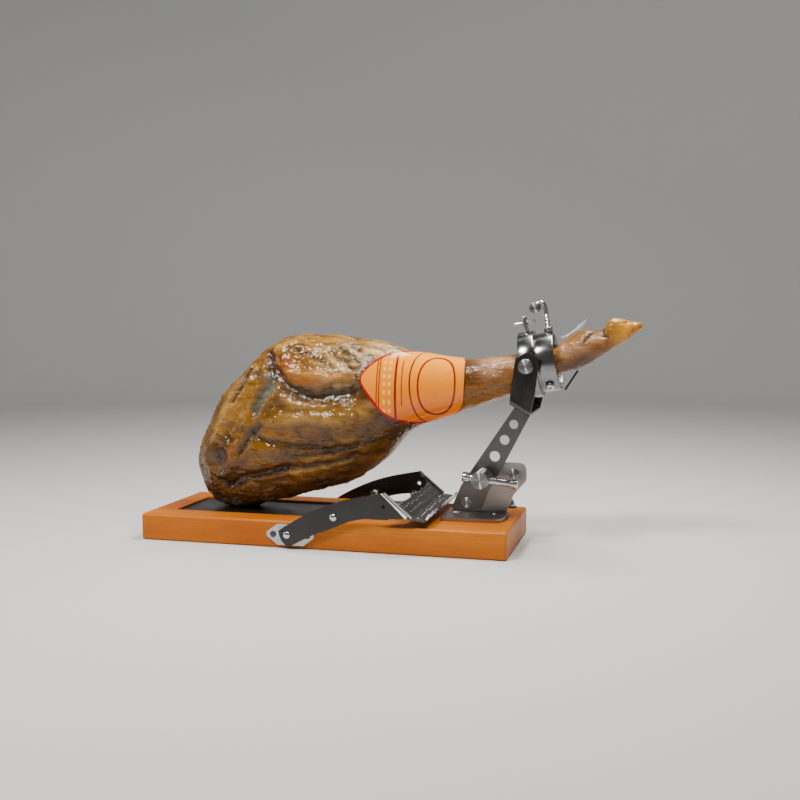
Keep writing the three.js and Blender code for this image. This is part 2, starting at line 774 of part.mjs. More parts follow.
// A closed thin body between two grids of points that face each other.
function sheetBetween(inner, outer) {
  const rows = inner.map((row, i) => [...row, ...outer[i].slice().reverse()]);
  const columns = inner[0].length;
  const around = 2 * columns;
  const index = [];
  for (let i = 0; i + 1 < rows.length; i++) {
    for (let j = 0; j < around; j++) {
      const next = (j + 1) % around;
      const [a, b] = [i * around + j, i * around + next];
      const [c, d] = [a + around, b + around];
      index.push(a, b, d, a, d, c);
    }
  }
  const lastRow = (rows.length - 1) * around;
  for (let j = 0; j + 1 < columns; j++) {
    const [a, b] = [j, j + 1];
    const [c, d] = [around - 1 - j, around - 2 - j];
    index.push(a, d, b, a, c, d);
    index.push(lastRow + a, lastRow + b, lastRow + d, lastRow + a, lastRow + d, lastRow + c);
  }
  return new THREE.BufferGeometry().setFromPoints(rows.flat()).setIndex(index);
}

// A small clear tag standing on the hock, and the stiff tail of the tie under it.
function footTag() {
  const shape = outline([
    [340, 305, 0.8],
    [356, 312, 0.8],
    [372, 318.5, 0.8],
    [377, 333, 0.8],
    [366, 326.5, 0.8],
    [354, 321, 0.8],
  ]);
  return uprightPlate(shape, HEAD_Y - 14, HEAD_Y - 12.8);
}

function tieTail() {
  const shape = outline([[362, 259, 0.5], [365.5, 259, 0.5], [347, 230, 0.5], [344.5, 231.5, 0.5]]);
  return uprightPlate(shape, HEAD_Y - 2, HEAD_Y + 2);
}

// ---------------------------------------------------------------- assembly

function assembleBoard() {
  place("board", boardBody(), MATERIALS.wood);
  place("inset_plate", insetPlate(), MATERIALS.brushed);
  place("foot_bracket", footBracket(), MATERIALS.brushed);
  for (const [side, [x, y]] of Object.entries(FOOT_SCREWS)) {
    place(`foot_screw_${side}`, woodScrewDown(), MATERIALS.polished).position.set(x, y, 0);
  }
  const stopBolt = bolt(STOP_BOLT.head, 2.5, STOP_BOLT.shank, LUG_FRONT - GAP, LUG_BACK + 5);
  const stopMesh = place("lug_bolt", stopBolt, MATERIALS.polished);
  stopMesh.position.set(STOP_BOLT.place[0], 0, STOP_BOLT.place[1]);
  const pivot = bolt(8, 1.6, PIVOT_SHANK, POST_FRONT - GAP, LUG_BACK + 9);
  place("pivot_bolt", pivot, MATERIALS.brushed).position.set(PIVOT[0], 0, PIVOT[1]);
  const pivotNut = boredNut(8.5, PIVOT_SHANK + GAP, LUG_BACK + GAP, LUG_BACK + 7);
  place("pivot_nut", pivotNut, MATERIALS.polished).position.set(PIVOT[0], 0, PIVOT[1]);
  place("corner_washer", cornerWasher(), MATERIALS.dark).position.set(...STUD.place, 0);
  place("corner_stud", cornerStud(), MATERIALS.polished).position.set(...STUD.place, 0);
}

const SIDES = { front: 1, rear: -1 };

// Turns a piece drawn for the front side into the one for the rear.
const toSide = (geometry, side) => {
  const made = geometry.isBufferGeometry ? solid(geometry) : geometry;
  return side === 1 ? made : made.mirror([0, 1, 0]);
};

function assembleCradle() {
  const armOuter = -ARM_Y - THIN - GAP;
  for (const [name, side] of Object.entries(SIDES)) {
    place(`hinge_plate_${name}`, toSide(hingePlate(), side), MATERIALS.greyPlate);
    const seat = -BOARD.width / 2 - 2 * GAP - HINGE_PLATE.thickness;
    hingeScrewPlaces().slice(0, 2).forEach(([x, z], i) => {
      const flush = turnedY([
        [0, seat - 0.8],
        [4.4, seat - 0.8],
        [5, seat],
        [WOOD_SCREW.shank, seat],
        [WOOD_SCREW.shank, seat + 19],
        [0, seat + 21],
      ]).translate(x, 0, z);
      const end = i === 0 ? "left" : "right";
      place(`hinge_screw_${name}_${end}`, toSide(flush, side), MATERIALS.polished);
    });
    const pivot = domeScrew(armOuter, -BOARD.width / 2 + 18).translate(HINGE[0], 0, HINGE[1]);
    place(`cradle_pivot_${name}`, toSide(pivot, side), MATERIALS.polished);
    place(`cradle_arm_${name}`, toSide(cradleArm(), side), MATERIALS.brushed);
    const screw = domeScrew(armOuter, -ARM_Y + 12).translate(ARM_SCREW[0], 0, ARM_SCREW[1]);
    place(`arm_screw_${name}`, toSide(screw, side), MATERIALS.polished);
    const { radius, length } = ARM_NUT;
    const nut = boredNut(radius, WOOD_SCREW.shank + GAP, -ARM_Y + GAP, -ARM_Y + length)
      .translate([ARM_SCREW[0], 0, ARM_SCREW[1]]);
    place(`arm_nut_${name}`, toSide(nut, side), MATERIALS.tag);
  }
  place("cradle_plate", cradlePlate(), MATERIALS.brushed);
}

function assemblePost() {
  place("post", postPlate(), MATERIALS.brushed);
  place("yoke", yoke(), MATERIALS.brushed);
  const clampNut = boredNut(9, CLAMP_STUD + GAP, LUG_BACK + GAP, LUG_BACK + 8);
  place("clamp_nut", clampNut, MATERIALS.polished).position.set(CLAMP[0], 0, CLAMP[1]);
  for (const [name, side] of Object.entries(SIDES)) {
    const trunnion = bolt(10.4, 8, TRUNNION_SHANK, -YOKE_HALF - GAP, -COLLAR.inner - 2);
    const bush = cut(
      rodY(9, -YOKE_HALF + SHEET + GAP, -COLLAR.outer - GAP),
      rodY(TRUNNION_SHANK + GAP, -YOKE_HALF, -COLLAR.outer + 1),
    );
    const bushMesh = place(`trunnion_bush_${name}`, toSide(bush, side), MATERIALS.polished);
    bushMesh.position.set(TRUNNION[0], HEAD_Y, TRUNNION[1]);
    const boltMesh = place(`trunnion_${name}`, toSide(trunnion, side), MATERIALS.polished);
    boltMesh.position.set(TRUNNION[0], HEAD_Y, TRUNNION[1]);
  }
}

function assembleKnob() {
  const knob = new THREE.Group();
  knob.position.set(CLAMP[0], 0, CLAMP[1]);
  knob.rotation.y = radians(TOMMY.tilt);
  root.add(knob);
  place("clamp_knob", cut(clampKnob(), tommyBore()), MATERIALS.polished, knob);
  const bar = rodX(TOMMY.radius, TOMMY.left + TOMMY.capLength - 4, TOMMY.right - TOMMY.capLength + 4);
  place("tommy_bar", bar.translate(0, TOMMY.y, 0), MATERIALS.polished, knob);
  const leftCap = tommyCap(TOMMY.left, TOMMY.left + TOMMY.capLength, 1);
  const rightCap = tommyCap(TOMMY.right - TOMMY.capLength, TOMMY.right, -1);
  place("tommy_cap_left", leftCap, MATERIALS.polished, knob);
  place("tommy_cap_right", rightCap, MATERIALS.polished, knob);
}

function assembleHead() {
  const head = new THREE.Group();
  head.position.set(TRUNNION[0], HEAD_Y, TRUNNION[1]);
  head.rotation.y = -radians(HEAD_TILT);
  root.add(head);
  place("collar", collarRing(), MATERIALS.polished, head);
  place("lock_screw", lockPin(), MATERIALS.polished, head);
  const lockBar = rodX(LOCK.barRadius, -LOCK.barHalf, LOCK.barHalf).translate(0, 0, LOCK.barHeight);
  place("lock_bar", lockBar, MATERIALS.polished, head);
  place("clamp_ring", clampRing(), MATERIALS.polished, head);
  const nutBottom = CLAMP_RING.outer + GAP;
  const crankNut = cut(
    rodZ(6.6, nutBottom, nutBottom + 7, 0.8),
    rodZ(CRANK.stem + GAP, nutBottom - 1, nutBottom + 8),
  );
  place("crank_nut", crankNut, MATERIALS.polished, head).position.x = CRANK.along;
  place("crank_screw", crankScrew(), MATERIALS.polished, head).position.x = CRANK.along;
  place("crank_knob", crankKnob(), MATERIALS.polished, head).position.x = CRANK.along;
  for (const [name, side] of Object.entries(SIDES)) {
    place(`spike_screw_${name}`, rollSpike(spikeScrew(), -side), MATERIALS.polished, head);
  }
}

function assembleHam() {
  place("ham", hamBody(), MATERIALS.skin);
  place("label", labelWrap(), MATERIALS.label);
  place("foot_tag", footTag(), MATERIALS.tag);
  place("tie_tail", tieTail(), MATERIALS.dark);
}

assembleBoard();
assembleCradle();
assemblePost();
assembleKnob();
assembleHead();
assembleHam();

export default root;
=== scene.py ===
# %% [markdown]
# # A cured ham in its carving stand
# The stand is a wooden board with a steel post. The ham's shank is held in a swivelling head, and
# its thick end rests on a steel plate. The solid model gives every piece its size and place. This
# lesson gives each piece its finish, and swaps the plain solids for finer meshes where it pays.

import json
import math

import bmesh
import bpy
import numpy as np
from mathutils import Matrix, Vector, noise


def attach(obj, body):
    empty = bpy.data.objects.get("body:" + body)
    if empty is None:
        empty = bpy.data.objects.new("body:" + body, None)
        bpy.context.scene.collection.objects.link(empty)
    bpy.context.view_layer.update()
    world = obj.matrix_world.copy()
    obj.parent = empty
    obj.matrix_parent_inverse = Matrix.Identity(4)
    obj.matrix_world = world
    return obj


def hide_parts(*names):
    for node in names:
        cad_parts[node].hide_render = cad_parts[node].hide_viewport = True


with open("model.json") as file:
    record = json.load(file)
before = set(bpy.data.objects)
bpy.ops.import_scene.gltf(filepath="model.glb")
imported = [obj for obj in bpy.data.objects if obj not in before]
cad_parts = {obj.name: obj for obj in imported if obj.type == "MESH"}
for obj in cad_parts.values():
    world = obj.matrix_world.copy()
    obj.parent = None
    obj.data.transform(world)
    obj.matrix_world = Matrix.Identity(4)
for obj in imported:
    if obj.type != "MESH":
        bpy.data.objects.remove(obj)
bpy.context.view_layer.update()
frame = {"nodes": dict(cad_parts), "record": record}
nodes = frame["nodes"]
body_holding = {
    node: body
    for body, members in frame["record"]["behaviour"]["bodies"].items()
    for node in members
}
MM = 0.001

# %% [markdown]
# ## Camera
# The camera stands a metre and a half away, a little to the right, at the height of the ham's
# top. Its lens is close to what the eye sees, so the board's far edge is only a little shorter
# than its near edge.

# %% Camera
camera_data = bpy.data.cameras.new("camera")
camera_data.lens = 45
camera_data.sensor_width = 36
camera = bpy.data.objects.new("camera", camera_data)
camera.location = (0.492, -1.448, 0.337)
camera.rotation_euler = [math.radians(angle) for angle in (85.25, 0.12, 15.09)]
bpy.context.scene.collection.objects.link(camera)
bpy.context.scene.camera = camera
print("lens:", camera_data.lens, "mm, camera at", tuple(camera.location))

# %% [markdown]
# ## Tools for building a mesh
# Nearly every finer piece here is a grid of points: rings round an axis, rings along a path, or
# rows of a sheet. So three small functions do most of the work. One turns a list of points into
# an object, one joins a grid's points with quads, and one swings a profile round an axis.

# %% From points to an object


def smooth_but_sharp(mesh, angle=35):
    """Smooth shading, with the edges that turn by more than the angle kept sharp."""
    shape = bmesh.new()
    shape.from_mesh(mesh)
    bmesh.ops.remove_doubles(shape, verts=shape.verts, dist=1e-7)
    bmesh.ops.recalc_face_normals(shape, faces=shape.faces)
    for face in shape.faces:
        face.smooth = True
    for edge in shape.edges:
        edge.smooth = not edge.is_manifold or edge.calc_face_angle() < math.radians(angle)
    shape.to_mesh(mesh)
    shape.free()


def new_piece(name, points, faces, placed=None):
    """An object from points in millimetres and faces, put in place by a matrix in millimetres."""
    points = np.asarray(points, float)
    if placed is not None:
        turn = np.array(placed.to_3x3())
        points = points @ turn.T + np.array(placed.translation)
    mesh = bpy.data.meshes.new(name)
    mesh.from_pydata((points * MM).tolist(), [], faces)
    smooth_but_sharp(mesh)
    piece = bpy.data.objects.new(name, mesh)
    bpy.context.scene.collection.objects.link(piece)
    return piece


def grid_faces(rows, columns, closed=True):
    """Quads between the rows of a grid, which closes on itself across its columns."""
    return [
        (
            i * columns + j,
            i * columns + (j + 1) % columns,
            (i + 1) * columns + (j + 1) % columns,
            (i + 1) * columns + j,
        )
        for i in range(rows - 1)
        for j in range(columns if closed else columns - 1)
    ]


# %% Rings round an axis


def lathe_points(profile, sides):
    """Rings of points about Z for a profile of (radius, height)."""
    angles = np.arange(sides) * 2 * math.pi / sides
    return np.array(
        [[r * math.cos(a), r * math.sin(a), h] for r, h in profile for a in angles]
    )


print("a ring of six points:", lathe_points([(1, 0)], 6).round(2).tolist())

# %% [markdown]
# ## Floor and light
# The floor is a shallow pale bowl, so that no edge or corner shows from any side. Polished steel
# only looks like steel when it has bright shapes and darker gaps to mirror, so the light comes
# from a few soft panels and the bowl itself stays fairly dim. The smallest panel is the
# brightest for its size: it draws the sharp glints on the oily ham.

# %% Floor
WALL_REACH, WALL_CURVE, WALL_TOP = 3500, 900, 3600
FLOOR_SIDES = 96
wall_curve = [
    (WALL_REACH - WALL_CURVE + WALL_CURVE * math.sin(a), WALL_CURVE - WALL_CURVE * math.cos(a))
    for a in np.linspace(0, math.pi / 2, 12)
]
bowl_profile = [(0, 0), (1200, 0), *wall_curve, (WALL_REACH, WALL_TOP)]
bowl_faces = grid_faces(len(bowl_profile), FLOOR_SIDES)
floor = new_piece("floor", lathe_points(bowl_profile, FLOOR_SIDES), bowl_faces)
floor_paint = bpy.data.materials.new("pale paint")
floor_paint.use_nodes = True
floor_surface = floor_paint.node_tree.nodes["Principled BSDF"]
floor_surface.inputs["Base Color"].default_value = (0.62, 0.62, 0.61, 1)
floor_surface.inputs["Roughness"].default_value = 0.8
floor.data.materials.append(floor_paint)
print("floor faces:", len(floor.data.polygons))

# %% Lights
world = bpy.data.worlds.new("room")
world.use_nodes = True
world.node_tree.nodes["Background"].inputs["Color"].default_value = (0.9, 0.95, 1.0, 1)
world.node_tree.nodes["Background"].inputs["Strength"].default_value = 0.12
bpy.context.scene.world = world


def panel(name, place, aim, width, height, power, color=(1, 1, 1)):
    """A soft light panel that faces the point it is aimed at."""
    data = bpy.data.lights.new(name, "AREA")
    data.shape = "RECTANGLE"
    data.size = width
    data.size_y = height
    data.energy = power
    data.color = color
    light = bpy.data.objects.new(name, data)
    light.location = place
    light.rotation_euler = (Vector(aim) - Vector(place)).to_track_quat("-Z", "Y").to_euler()
    bpy.context.scene.collection.objects.link(light)
    print(name, power, "W")


ham_middle = (0.05, 0, 0.2)
panel("key panel", (-0.28, -0.76, 1.36), ham_middle, 0.34, 0.34, 26, (1, 0.97, 0.92))
panel("overhead panel", (0.45, 0.15, 1.35), ham_middle, 0.9, 0.4, 28, (1, 0.97, 0.93))
panel("left panel", (-1.6, -0.5, 0.7), ham_middle, 0.4, 0.9, 6, (1, 0.96, 0.9))
panel("wall panel", (0, 0.6, 2.2), (0, 3.2, 0.9), 2.4, 0.8, 16)

# %% [markdown]
# ## Building finishes
# Each finish is a small tree of nodes. A helper class keeps the trees short: it reads the place
# on the object in metres, so a noise scale of 300 gives grains of about three millimetres on
# every piece, whatever its size.

# %% A finish


class Finish:
    """A material that is built up node by node around one surface shader."""

    def __init__(self, name):
        self.material = bpy.data.materials.new(name)
        self.material.use_nodes = True
        self.tree = self.material.node_tree
        self.surface = self.tree.nodes["Principled BSDF"]
        self.place = self.node("ShaderNodeTexCoord").outputs["Object"]

    def node(self, kind, inputs=None, **settings):
        """A new node with its settings, and its inputs by name."""
        made = self.tree.nodes.new(kind)
        for name, value in settings.items():
            setattr(made, name, value)
        for name, value in (inputs or {}).items():
            self.connect(made.inputs[name], value)
        return made

    def connect(self, socket, value):
        """A link where the value comes from another node, and otherwise a plain number or colour."""
        if isinstance(value, bpy.types.NodeSocket):
            self.tree.links.new(value, socket)
        elif hasattr(value, "__len__") and len(value) == 3 and socket.type == "RGBA":
            socket.default_value = (*value, 1)
        else:
            socket.default_value = value

    def stretched(self, scale):
        """The place, scaled along each axis: a small number draws the grain out along that axis."""
        return self.node(
            "ShaderNodeMapping", {"Vector": self.place, "Scale": scale}
        ).outputs["Vector"]

    def noise(self, scale, detail=4.0, stretch=None, roughness=0.55, distortion=0.0):
        """Cloudy noise from 0 to 1; a scale of 100 gives grains of about a centimetre."""
        where = self.stretched(stretch) if stretch else self.place
        inputs = {
            "Vector": where,
            "Scale": scale,
            "Detail": detail,
            "Roughness": roughness,
            "Distortion": distortion,
        }
        return self.node("ShaderNodeTexNoise", inputs).outputs["Fac"]

    def value(self, name):
        """A number that the mesh carries at each of its points."""
        return self.node("ShaderNodeAttribute", attribute_name=name).outputs["Fac"]

    def span(self, factor, low, high, to_low=0.0, to_high=1.0):
        """The factor's range from low to high, spread over another range and cut off outside it."""
        inputs = {
            "Value": factor,
            "From Min": low,
            "From Max": high,
            "To Min": to_low,
            "To Max": to_high,
        }
        return self.node("ShaderNodeMapRange", inputs).outputs["Result"]

    def math(self, operation, first, second=0.0):
        """The result of a sum on one or two numbers."""
        made = self.node("ShaderNodeMath", operation=operation)
        self.connect(made.inputs[0], first)
        self.connect(made.inputs[1], second)
        return made.outputs["Value"]

    def blend(self, factor, first, second):
        """The first colour where the factor is 0, and the second where it is 1."""
        made = self.node("ShaderNodeMix", data_type="RGBA")
        self.connect(made.inputs["Factor"], factor)
        self.connect(made.inputs[6], first)
        self.connect(made.inputs[7], second)
        return made.outputs[2]

    def bump(self, height, distance, under=None):
        """Relief of a depth in metres, on top of another relief where one is given."""
        inputs = {"Height": height, "Distance": distance, "Strength": 1.0}
        if under is not None:
            inputs["Normal"] = under
        return self.node("ShaderNodeBump", inputs).outputs["Normal"]

    def set(self, **values):
        """Sets the shader's own sockets, whose names have spaces for the underscores."""
        for name, value in values.items():
            self.connect(self.surface.inputs[name.replace("_", " ")], value)


print("sockets that a surface shader has:", len(floor_surface.inputs))

# %% [markdown]
# ## Steel
# The stand's sheet parts are brushed: fine scratches along one direction, with a few smears from
# greasy hands. Its turned parts are polished, and their flat ends still carry the rings of the
# lathe, which mirror light as bright and dark wedges. A stretched noise gives the brushing, and
# an anisotropic shader with a radial tangent gives the wedges.

# %% Steel finishes


def brushed_steel(name, tint, stretch, roughness):
    """Steel with fine scratches along one direction and a few broad smears."""
    steel = Finish(name)
    scratches = steel.noise(1100, 4, stretch)
    smears = steel.noise(22, 3)
    dark = tuple(0.84 * part for part in tint)
    color = steel.blend(steel.span(scratches, 0.3, 0.7), dark, tint)
    rough = steel.math(
        "ADD",
        steel.span(scratches, 0.3, 0.7, -0.05, 0.05),
        steel.span(smears, 0.3, 0.7, roughness - 0.06, roughness + 0.1),
    )
    steel.set(
        Base_Color=steel.blend(steel.span(smears, 0.45, 0.8, 0, 0.35), color, dark),
        Metallic=1.0,
        Roughness=rough,
        Normal=steel.bump(scratches, 0.00002),
    )
    return steel.material


def polished_steel(name, roughness=0.14, tint=(0.6, 0.6, 0.6)):
    """Smooth steel with faint smears."""
    steel = Finish(name)
    fine = steel.noise(900, 4)
    smears = steel.noise(60, 3)
    dark = tuple(0.7 * part for part in tint)
    steel.set(
        Base_Color=steel.blend(steel.span(smears, 0.4, 0.75, 0, 0.3), tint, dark),
        Metallic=1.0,
        Roughness=steel.span(smears, 0.3, 0.7, roughness - 0.04, roughness + 0.08),
        Normal=steel.bump(fine, 0.00001),
    )
    return steel


def faced_steel(name, axis, tint):
    """Steel whose flat ends carry the rings of a lathe that turned it about the axis."""
    steel = polished_steel(name, 0.46, tint)
    tangent = steel.node("ShaderNodeTangent", direction_type="RADIAL", axis=axis)
    steel.set(
        Tangent=tangent.outputs["Tangent"],
        Roughness=steel.span(steel.noise(60, 3), 0.3, 0.7, 0.42, 0.52),
        Anisotropic=1.0,
        Anisotropic_Rotation=0.25,
    )
    return steel


LENGTHWAYS = (0.05, 1, 1)
UPWARDS = (1, 1, 0.06)
sheet_steel = brushed_steel("brushed sheet", (0.15, 0.147, 0.143), UPWARDS, 0.32)
# The arms are the same bent sheet as the cradle's plate; their darker tint is a painted dark
# reflection.
arm_steel_painted_dark = brushed_steel("brushed arm", (0.052, 0.051, 0.050), LENGTHWAYS, 0.26)
cradle_steel = brushed_steel("cradle sheet", (0.090, 0.088, 0.085), LENGTHWAYS, 0.26)
yoke_steel = brushed_steel("brushed yoke", (0.095, 0.094, 0.093), UPWARDS, 0.22)
plate_steel = brushed_steel("inset sheet", (0.13, 0.122, 0.115), LENGTHWAYS, 0.34)
flange_steel = brushed_steel("bracket sheet", (0.36, 0.345, 0.33), LENGTHWAYS, 0.36)
grey_steel = brushed_steel("matt grey plate", (0.60, 0.61, 0.60), LENGTHWAYS, 0.45)
mirror_steel = polished_steel("polished").material
dark_screw = polished_steel("dark screw", 0.2, (0.07, 0.07, 0.07)).material
faced_y = faced_steel("faced across", "Y", (0.36, 0.36, 0.36)).material
# The rings take a much darker copy of the polished steel: a painted dark reflection that keeps their
# lower faces dark.
ring_steel_painted_dark = polished_steel("polished ring", 0.17, (0.23, 0.23, 0.23)).material
bend_highlight_steel = polished_steel("bend", 0.16, (0.86, 0.86, 0.86)).material
print("steels:", ", ".join(look.name for look in (
    sheet_steel, arm_steel_painted_dark, cradle_steel, yoke_steel, plate_steel, flange_steel, grey_steel,
    mirror_steel, dark_screw, faced_y, ring_steel_painted_dark, bend_highlight_steel,
)))

# %% [markdown]
# ## Small dark and clear finishes
# Rubber, a stiff black tie and a clear tag are all small, but each still needs its own gloss. The
# pale nut behind the arm is a dull moulded cap.

# %% Plastics


def plastic(name, tint, roughness, relief=0.00004, clear=0.0):
    """A moulded finish with a fine grain; clear is how much light passes through it."""
    made = Finish(name)
    grain = made.noise(700, 4)
    patches = made.noise(90, 3)
    deeper = tuple(0.75 * part for part in tint)
    made.set(
        Base_Color=made.blend(made.span(patches, 0.35, 0.7), tint, deeper),
        Roughness=made.span(patches, 0.3, 0.7, roughness - 0.05, roughness + 0.08),
        Normal=made.bump(grain, relief),
        Transmission_Weight=clear,
    )
    return made.material


black_rubber = plastic("black rubber", (0.02, 0.02, 0.02), 0.6)
black_tie = plastic("black tie", (0.015, 0.015, 0.016), 0.4)
pale_cap = plastic("pale cap", (0.62, 0.57, 0.44), 0.5)
clear_film = plastic("clear film", (0.9, 0.89, 0.86), 0.12, 0.00015, clear=0.55)
print("plastics:", black_rubber.name, black_tie.name, pale_cap.name, clear_film.name)

# %% [markdown]
# ## Oiled wood
# The board is orange-brown hardwood. Its long faces show straight fibres with tiny dark pores
# drawn out along them. Both are noise stretched strongly along X, and a broader noise gives the
# slow change from redder to paler wood. The oil leaves a soft sheen.

# %% Wood


def oiled_wood():
    wood = Finish("oiled wood")
    figure = wood.noise(9, 3, (0.35, 1.6, 1.6), distortion=0.6)
    fibres = wood.noise(420, 5, (0.035, 1, 1))
    pores = wood.noise(1100, 2, (0.09, 1, 1))
    broad = wood.blend(wood.span(figure, 0.32, 0.68), (0.42, 0.092, 0.0), (0.62, 0.19, 0.002))
    fine = wood.blend(wood.span(fibres, 0.35, 0.7, 0, 0.5), broad, (0.36, 0.082, 0.004))
    color = wood.blend(wood.span(pores, 0.62, 0.72, 0, 0.7), fine, (0.17, 0.038, 0.003))
    wood.set(
        Base_Color=color,
        Roughness=wood.span(fibres, 0.3, 0.7, 0.34, 0.5),
        Normal=wood.bump(fibres, 0.00012, wood.bump(pores, 0.00006)),
        Specular_IOR_Level=0.25,
    )
    return wood.material


wood_look = oiled_wood()
print("wood nodes:", len(wood_look.node_tree.nodes))

# %% [markdown]
# ## Dressing the solids that stay
# Flat sheet parts keep their solids. A real edge is never perfectly sharp, and it is the thin
# bright line along it that tells the eye it is metal. So each solid's points are welded, and a
# bevel modifier breaks its edges. Modifiers leave the solid's own mesh as it is.

# %% Dress the solids


def dress(node, look, edge):
    """Gives a solid its finish and breaks its edges by so many millimetres."""
    solid = nodes[node]
    solid.data.materials.clear()
    solid.data.materials.append(look)
    weld = solid.modifiers.new("welded", "WELD")
    weld.merge_threshold = 1e-6
    bevel = solid.modifiers.new("broken edges", "BEVEL")
    bevel.width = edge * MM
    bevel.segments = 2
    bevel.limit_method = "ANGLE"
    bevel.angle_limit = math.radians(38)


SOLID_LOOKS = {
    "board": (wood_look, 0.9),
    "inset_plate": (plate_steel, 0.3),
    "foot_bracket": (flange_steel, 0.7),
    "hinge_plate_front": (grey_steel, 0.3),
    "hinge_plate_rear": (grey_steel, 0.3),
    "hinge_screw_front_left": (dark_screw, 0.15),
    "hinge_screw_front_right": (dark_screw, 0.15),
    "hinge_screw_rear_left": (dark_screw, 0.15),
    "hinge_screw_rear_right": (dark_screw, 0.15),
    "cradle_arm_front": (arm_steel_painted_dark, 0.5),
    "cradle_arm_rear": (arm_steel_painted_dark, 0.5),
    "arm_nut_front": (pale_cap, 0.4),
    "arm_nut_rear": (pale_cap, 0.4),
    "cradle_plate": (cradle_steel, 0.35),
    "post": (sheet_steel, 0.6),
    "yoke": (yoke_steel, 0.5),
    "clamp_nut": (mirror_steel, 0.5),
    "pivot_nut": (mirror_steel, 0.5),
    "tie_tail": (black_tie, 0.3),
}
for node, (look, edge) in SOLID_LOOKS.items():
    dress(node, look, edge)
print("dressed solids:", len(SOLID_LOOKS))

# %% [markdown]
# ## Turned pieces
# Knobs, bolts, rings and screws are turned: each is a profile of radius and height swung round
# an axis. One function makes them all with many sides, and a table says where each one goes.
# Every finer piece takes over from its plain solid and moves with the same body.

# %% Turning and taking over
TO_AXIS = {
    "X": Matrix(((0, 0, 1), (1, 0, 0), (0, 1, 0))).to_4x4(),
    "Y": Matrix(((0, 1, 0), (0, 0, 1), (1, 0, 0))).to_4x4(),
    "Z": Matrix.Identity(4),
}
stand_ins = []  # the nodes that a finer piece has taken over


def turned(name, profile, axis, placed, sides=72, ripple=None):
    """A profile of (radius, height) swung about an axis; ripple(row, angle) adds to the radius."""
    points = lathe_points(profile, sides)
    if ripple:
        for i, (radius, _) in enumerate(profile):
            for j in range(sides):
                angle = 2 * math.pi * j / sides
                reach = radius + ripple(i, angle)
                points[i * sides + j, :2] = (reach * math.cos(angle), reach * math.sin(angle))
    return new_piece(name, points, grid_faces(len(profile), sides), placed @ TO_AXIS[axis])


def take_over(piece, look, node):
    """The piece gets its finish, moves with its node's body and stands for the node."""
    piece.data.materials.append(look)
    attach(piece, body_holding[node])
    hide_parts(node)
    stand_ins.append(node)


def rounded(radius, start, end, edge, steps=4):
    """The profile of a rod with rounded ends."""
    turns = [math.pi / 2 * k / steps for k in range(steps + 1)]
    first = [(radius - edge + edge * math.sin(t), start + edge - edge * math.cos(t)) for t in turns]
    last = [(radius - edge + edge * math.cos(t), end - edge + edge * math.sin(t)) for t in turns]
    return [(0, start), *first, *last, (0, end)]


def at(x, y, z):
    return Matrix.Translation((x, y, z))


print("profile of a rod:", len(rounded(5, 0, 20, 1)), "points")

# %% Clamp knob, bar and caps
BAR_LEAN = 6.3  # degrees
KNOB_PLACE = at(228, 0, 99) @ Matrix.Rotation(math.radians(BAR_LEAN), 4, "Y")
BAR_PLACE = KNOB_PLACE @ at(0, -13, 0)
KNOB_PROFILE = [
    (0, -26.2), (3, -26.3), (10.4, -27), (11.6, -27), (12.6, -26.6), (13, -25.8), (13, -17),
    (12.7, -16.6), (12.7, -10.2), (13, -9.8), (13, 12.6), (12, 13.4), (12, 15.7), (5, 15.7),
    (5, 35.3), (0, 35.3),
]


CAP_LENGTH = 11
CAP_PROFILE = [
    (0, 0), (6.2, 0), (7.1, 0.3), (7.4, 1), (7.4, 6.6), (7.0, 6.9), (7.0, 7.5), (7.4, 7.8),
    (7.4, 10.4), (6.9, CAP_LENGTH), (5.9, CAP_LENGTH), (5.9, 7), (0, 7),
]


def cap_profile(start, mouth):
    """A cap with a shallow groove, its open end towards the bar."""
    return [
        (radius, start + (height if mouth > 0 else CAP_LENGTH - height))
        for radius, height in CAP_PROFILE
    ]


knob = turned("knob", KNOB_PROFILE, "Y", KNOB_PLACE, 96)
take_over(knob, faced_y, "clamp_knob")
bar = turned("bar", rounded(5.6, -21, 47, 0.5), "X", BAR_PLACE)
take_over(bar, mirror_steel, "tommy_bar")
for side, start, mouth in (("left", -28, 1), ("right", 43, -1)):
    cap = turned(f"bar_cap_{side}", cap_profile(start, mouth), "X", BAR_PLACE)
    take_over(cap, mirror_steel, f"tommy_cap_{side}")
print("taken over:", stand_ins)

# %% Bolts and screws


def bolt_profile(head, thickness, shank, seat, end):
    """A bolt along its axis: a slightly crowned head in front of its seat, then the shank."""
    front = seat - thickness
    crown = [(0, front - 0.25), (head * 0.5, front - 0.18), (head - 1.3, front)]
    rim = [(head - 0.4, front + 0.4), (head, front + 1.2), (head, seat)]
    return [*crown, *rim, (shank, seat), (shank, end - 0.6), (shank - 0.6, end), (0, end)]


def dome_profile(seat, end):
    """A screw with a domed head in front of its seat."""
    curve = [(5.6 * math.sin(a), seat - 3 * math.cos(a)) for a in np.linspace(0, math.pi / 2, 9)]
    return [*curve, (3.6, seat), (3.6, end), (0, end)]


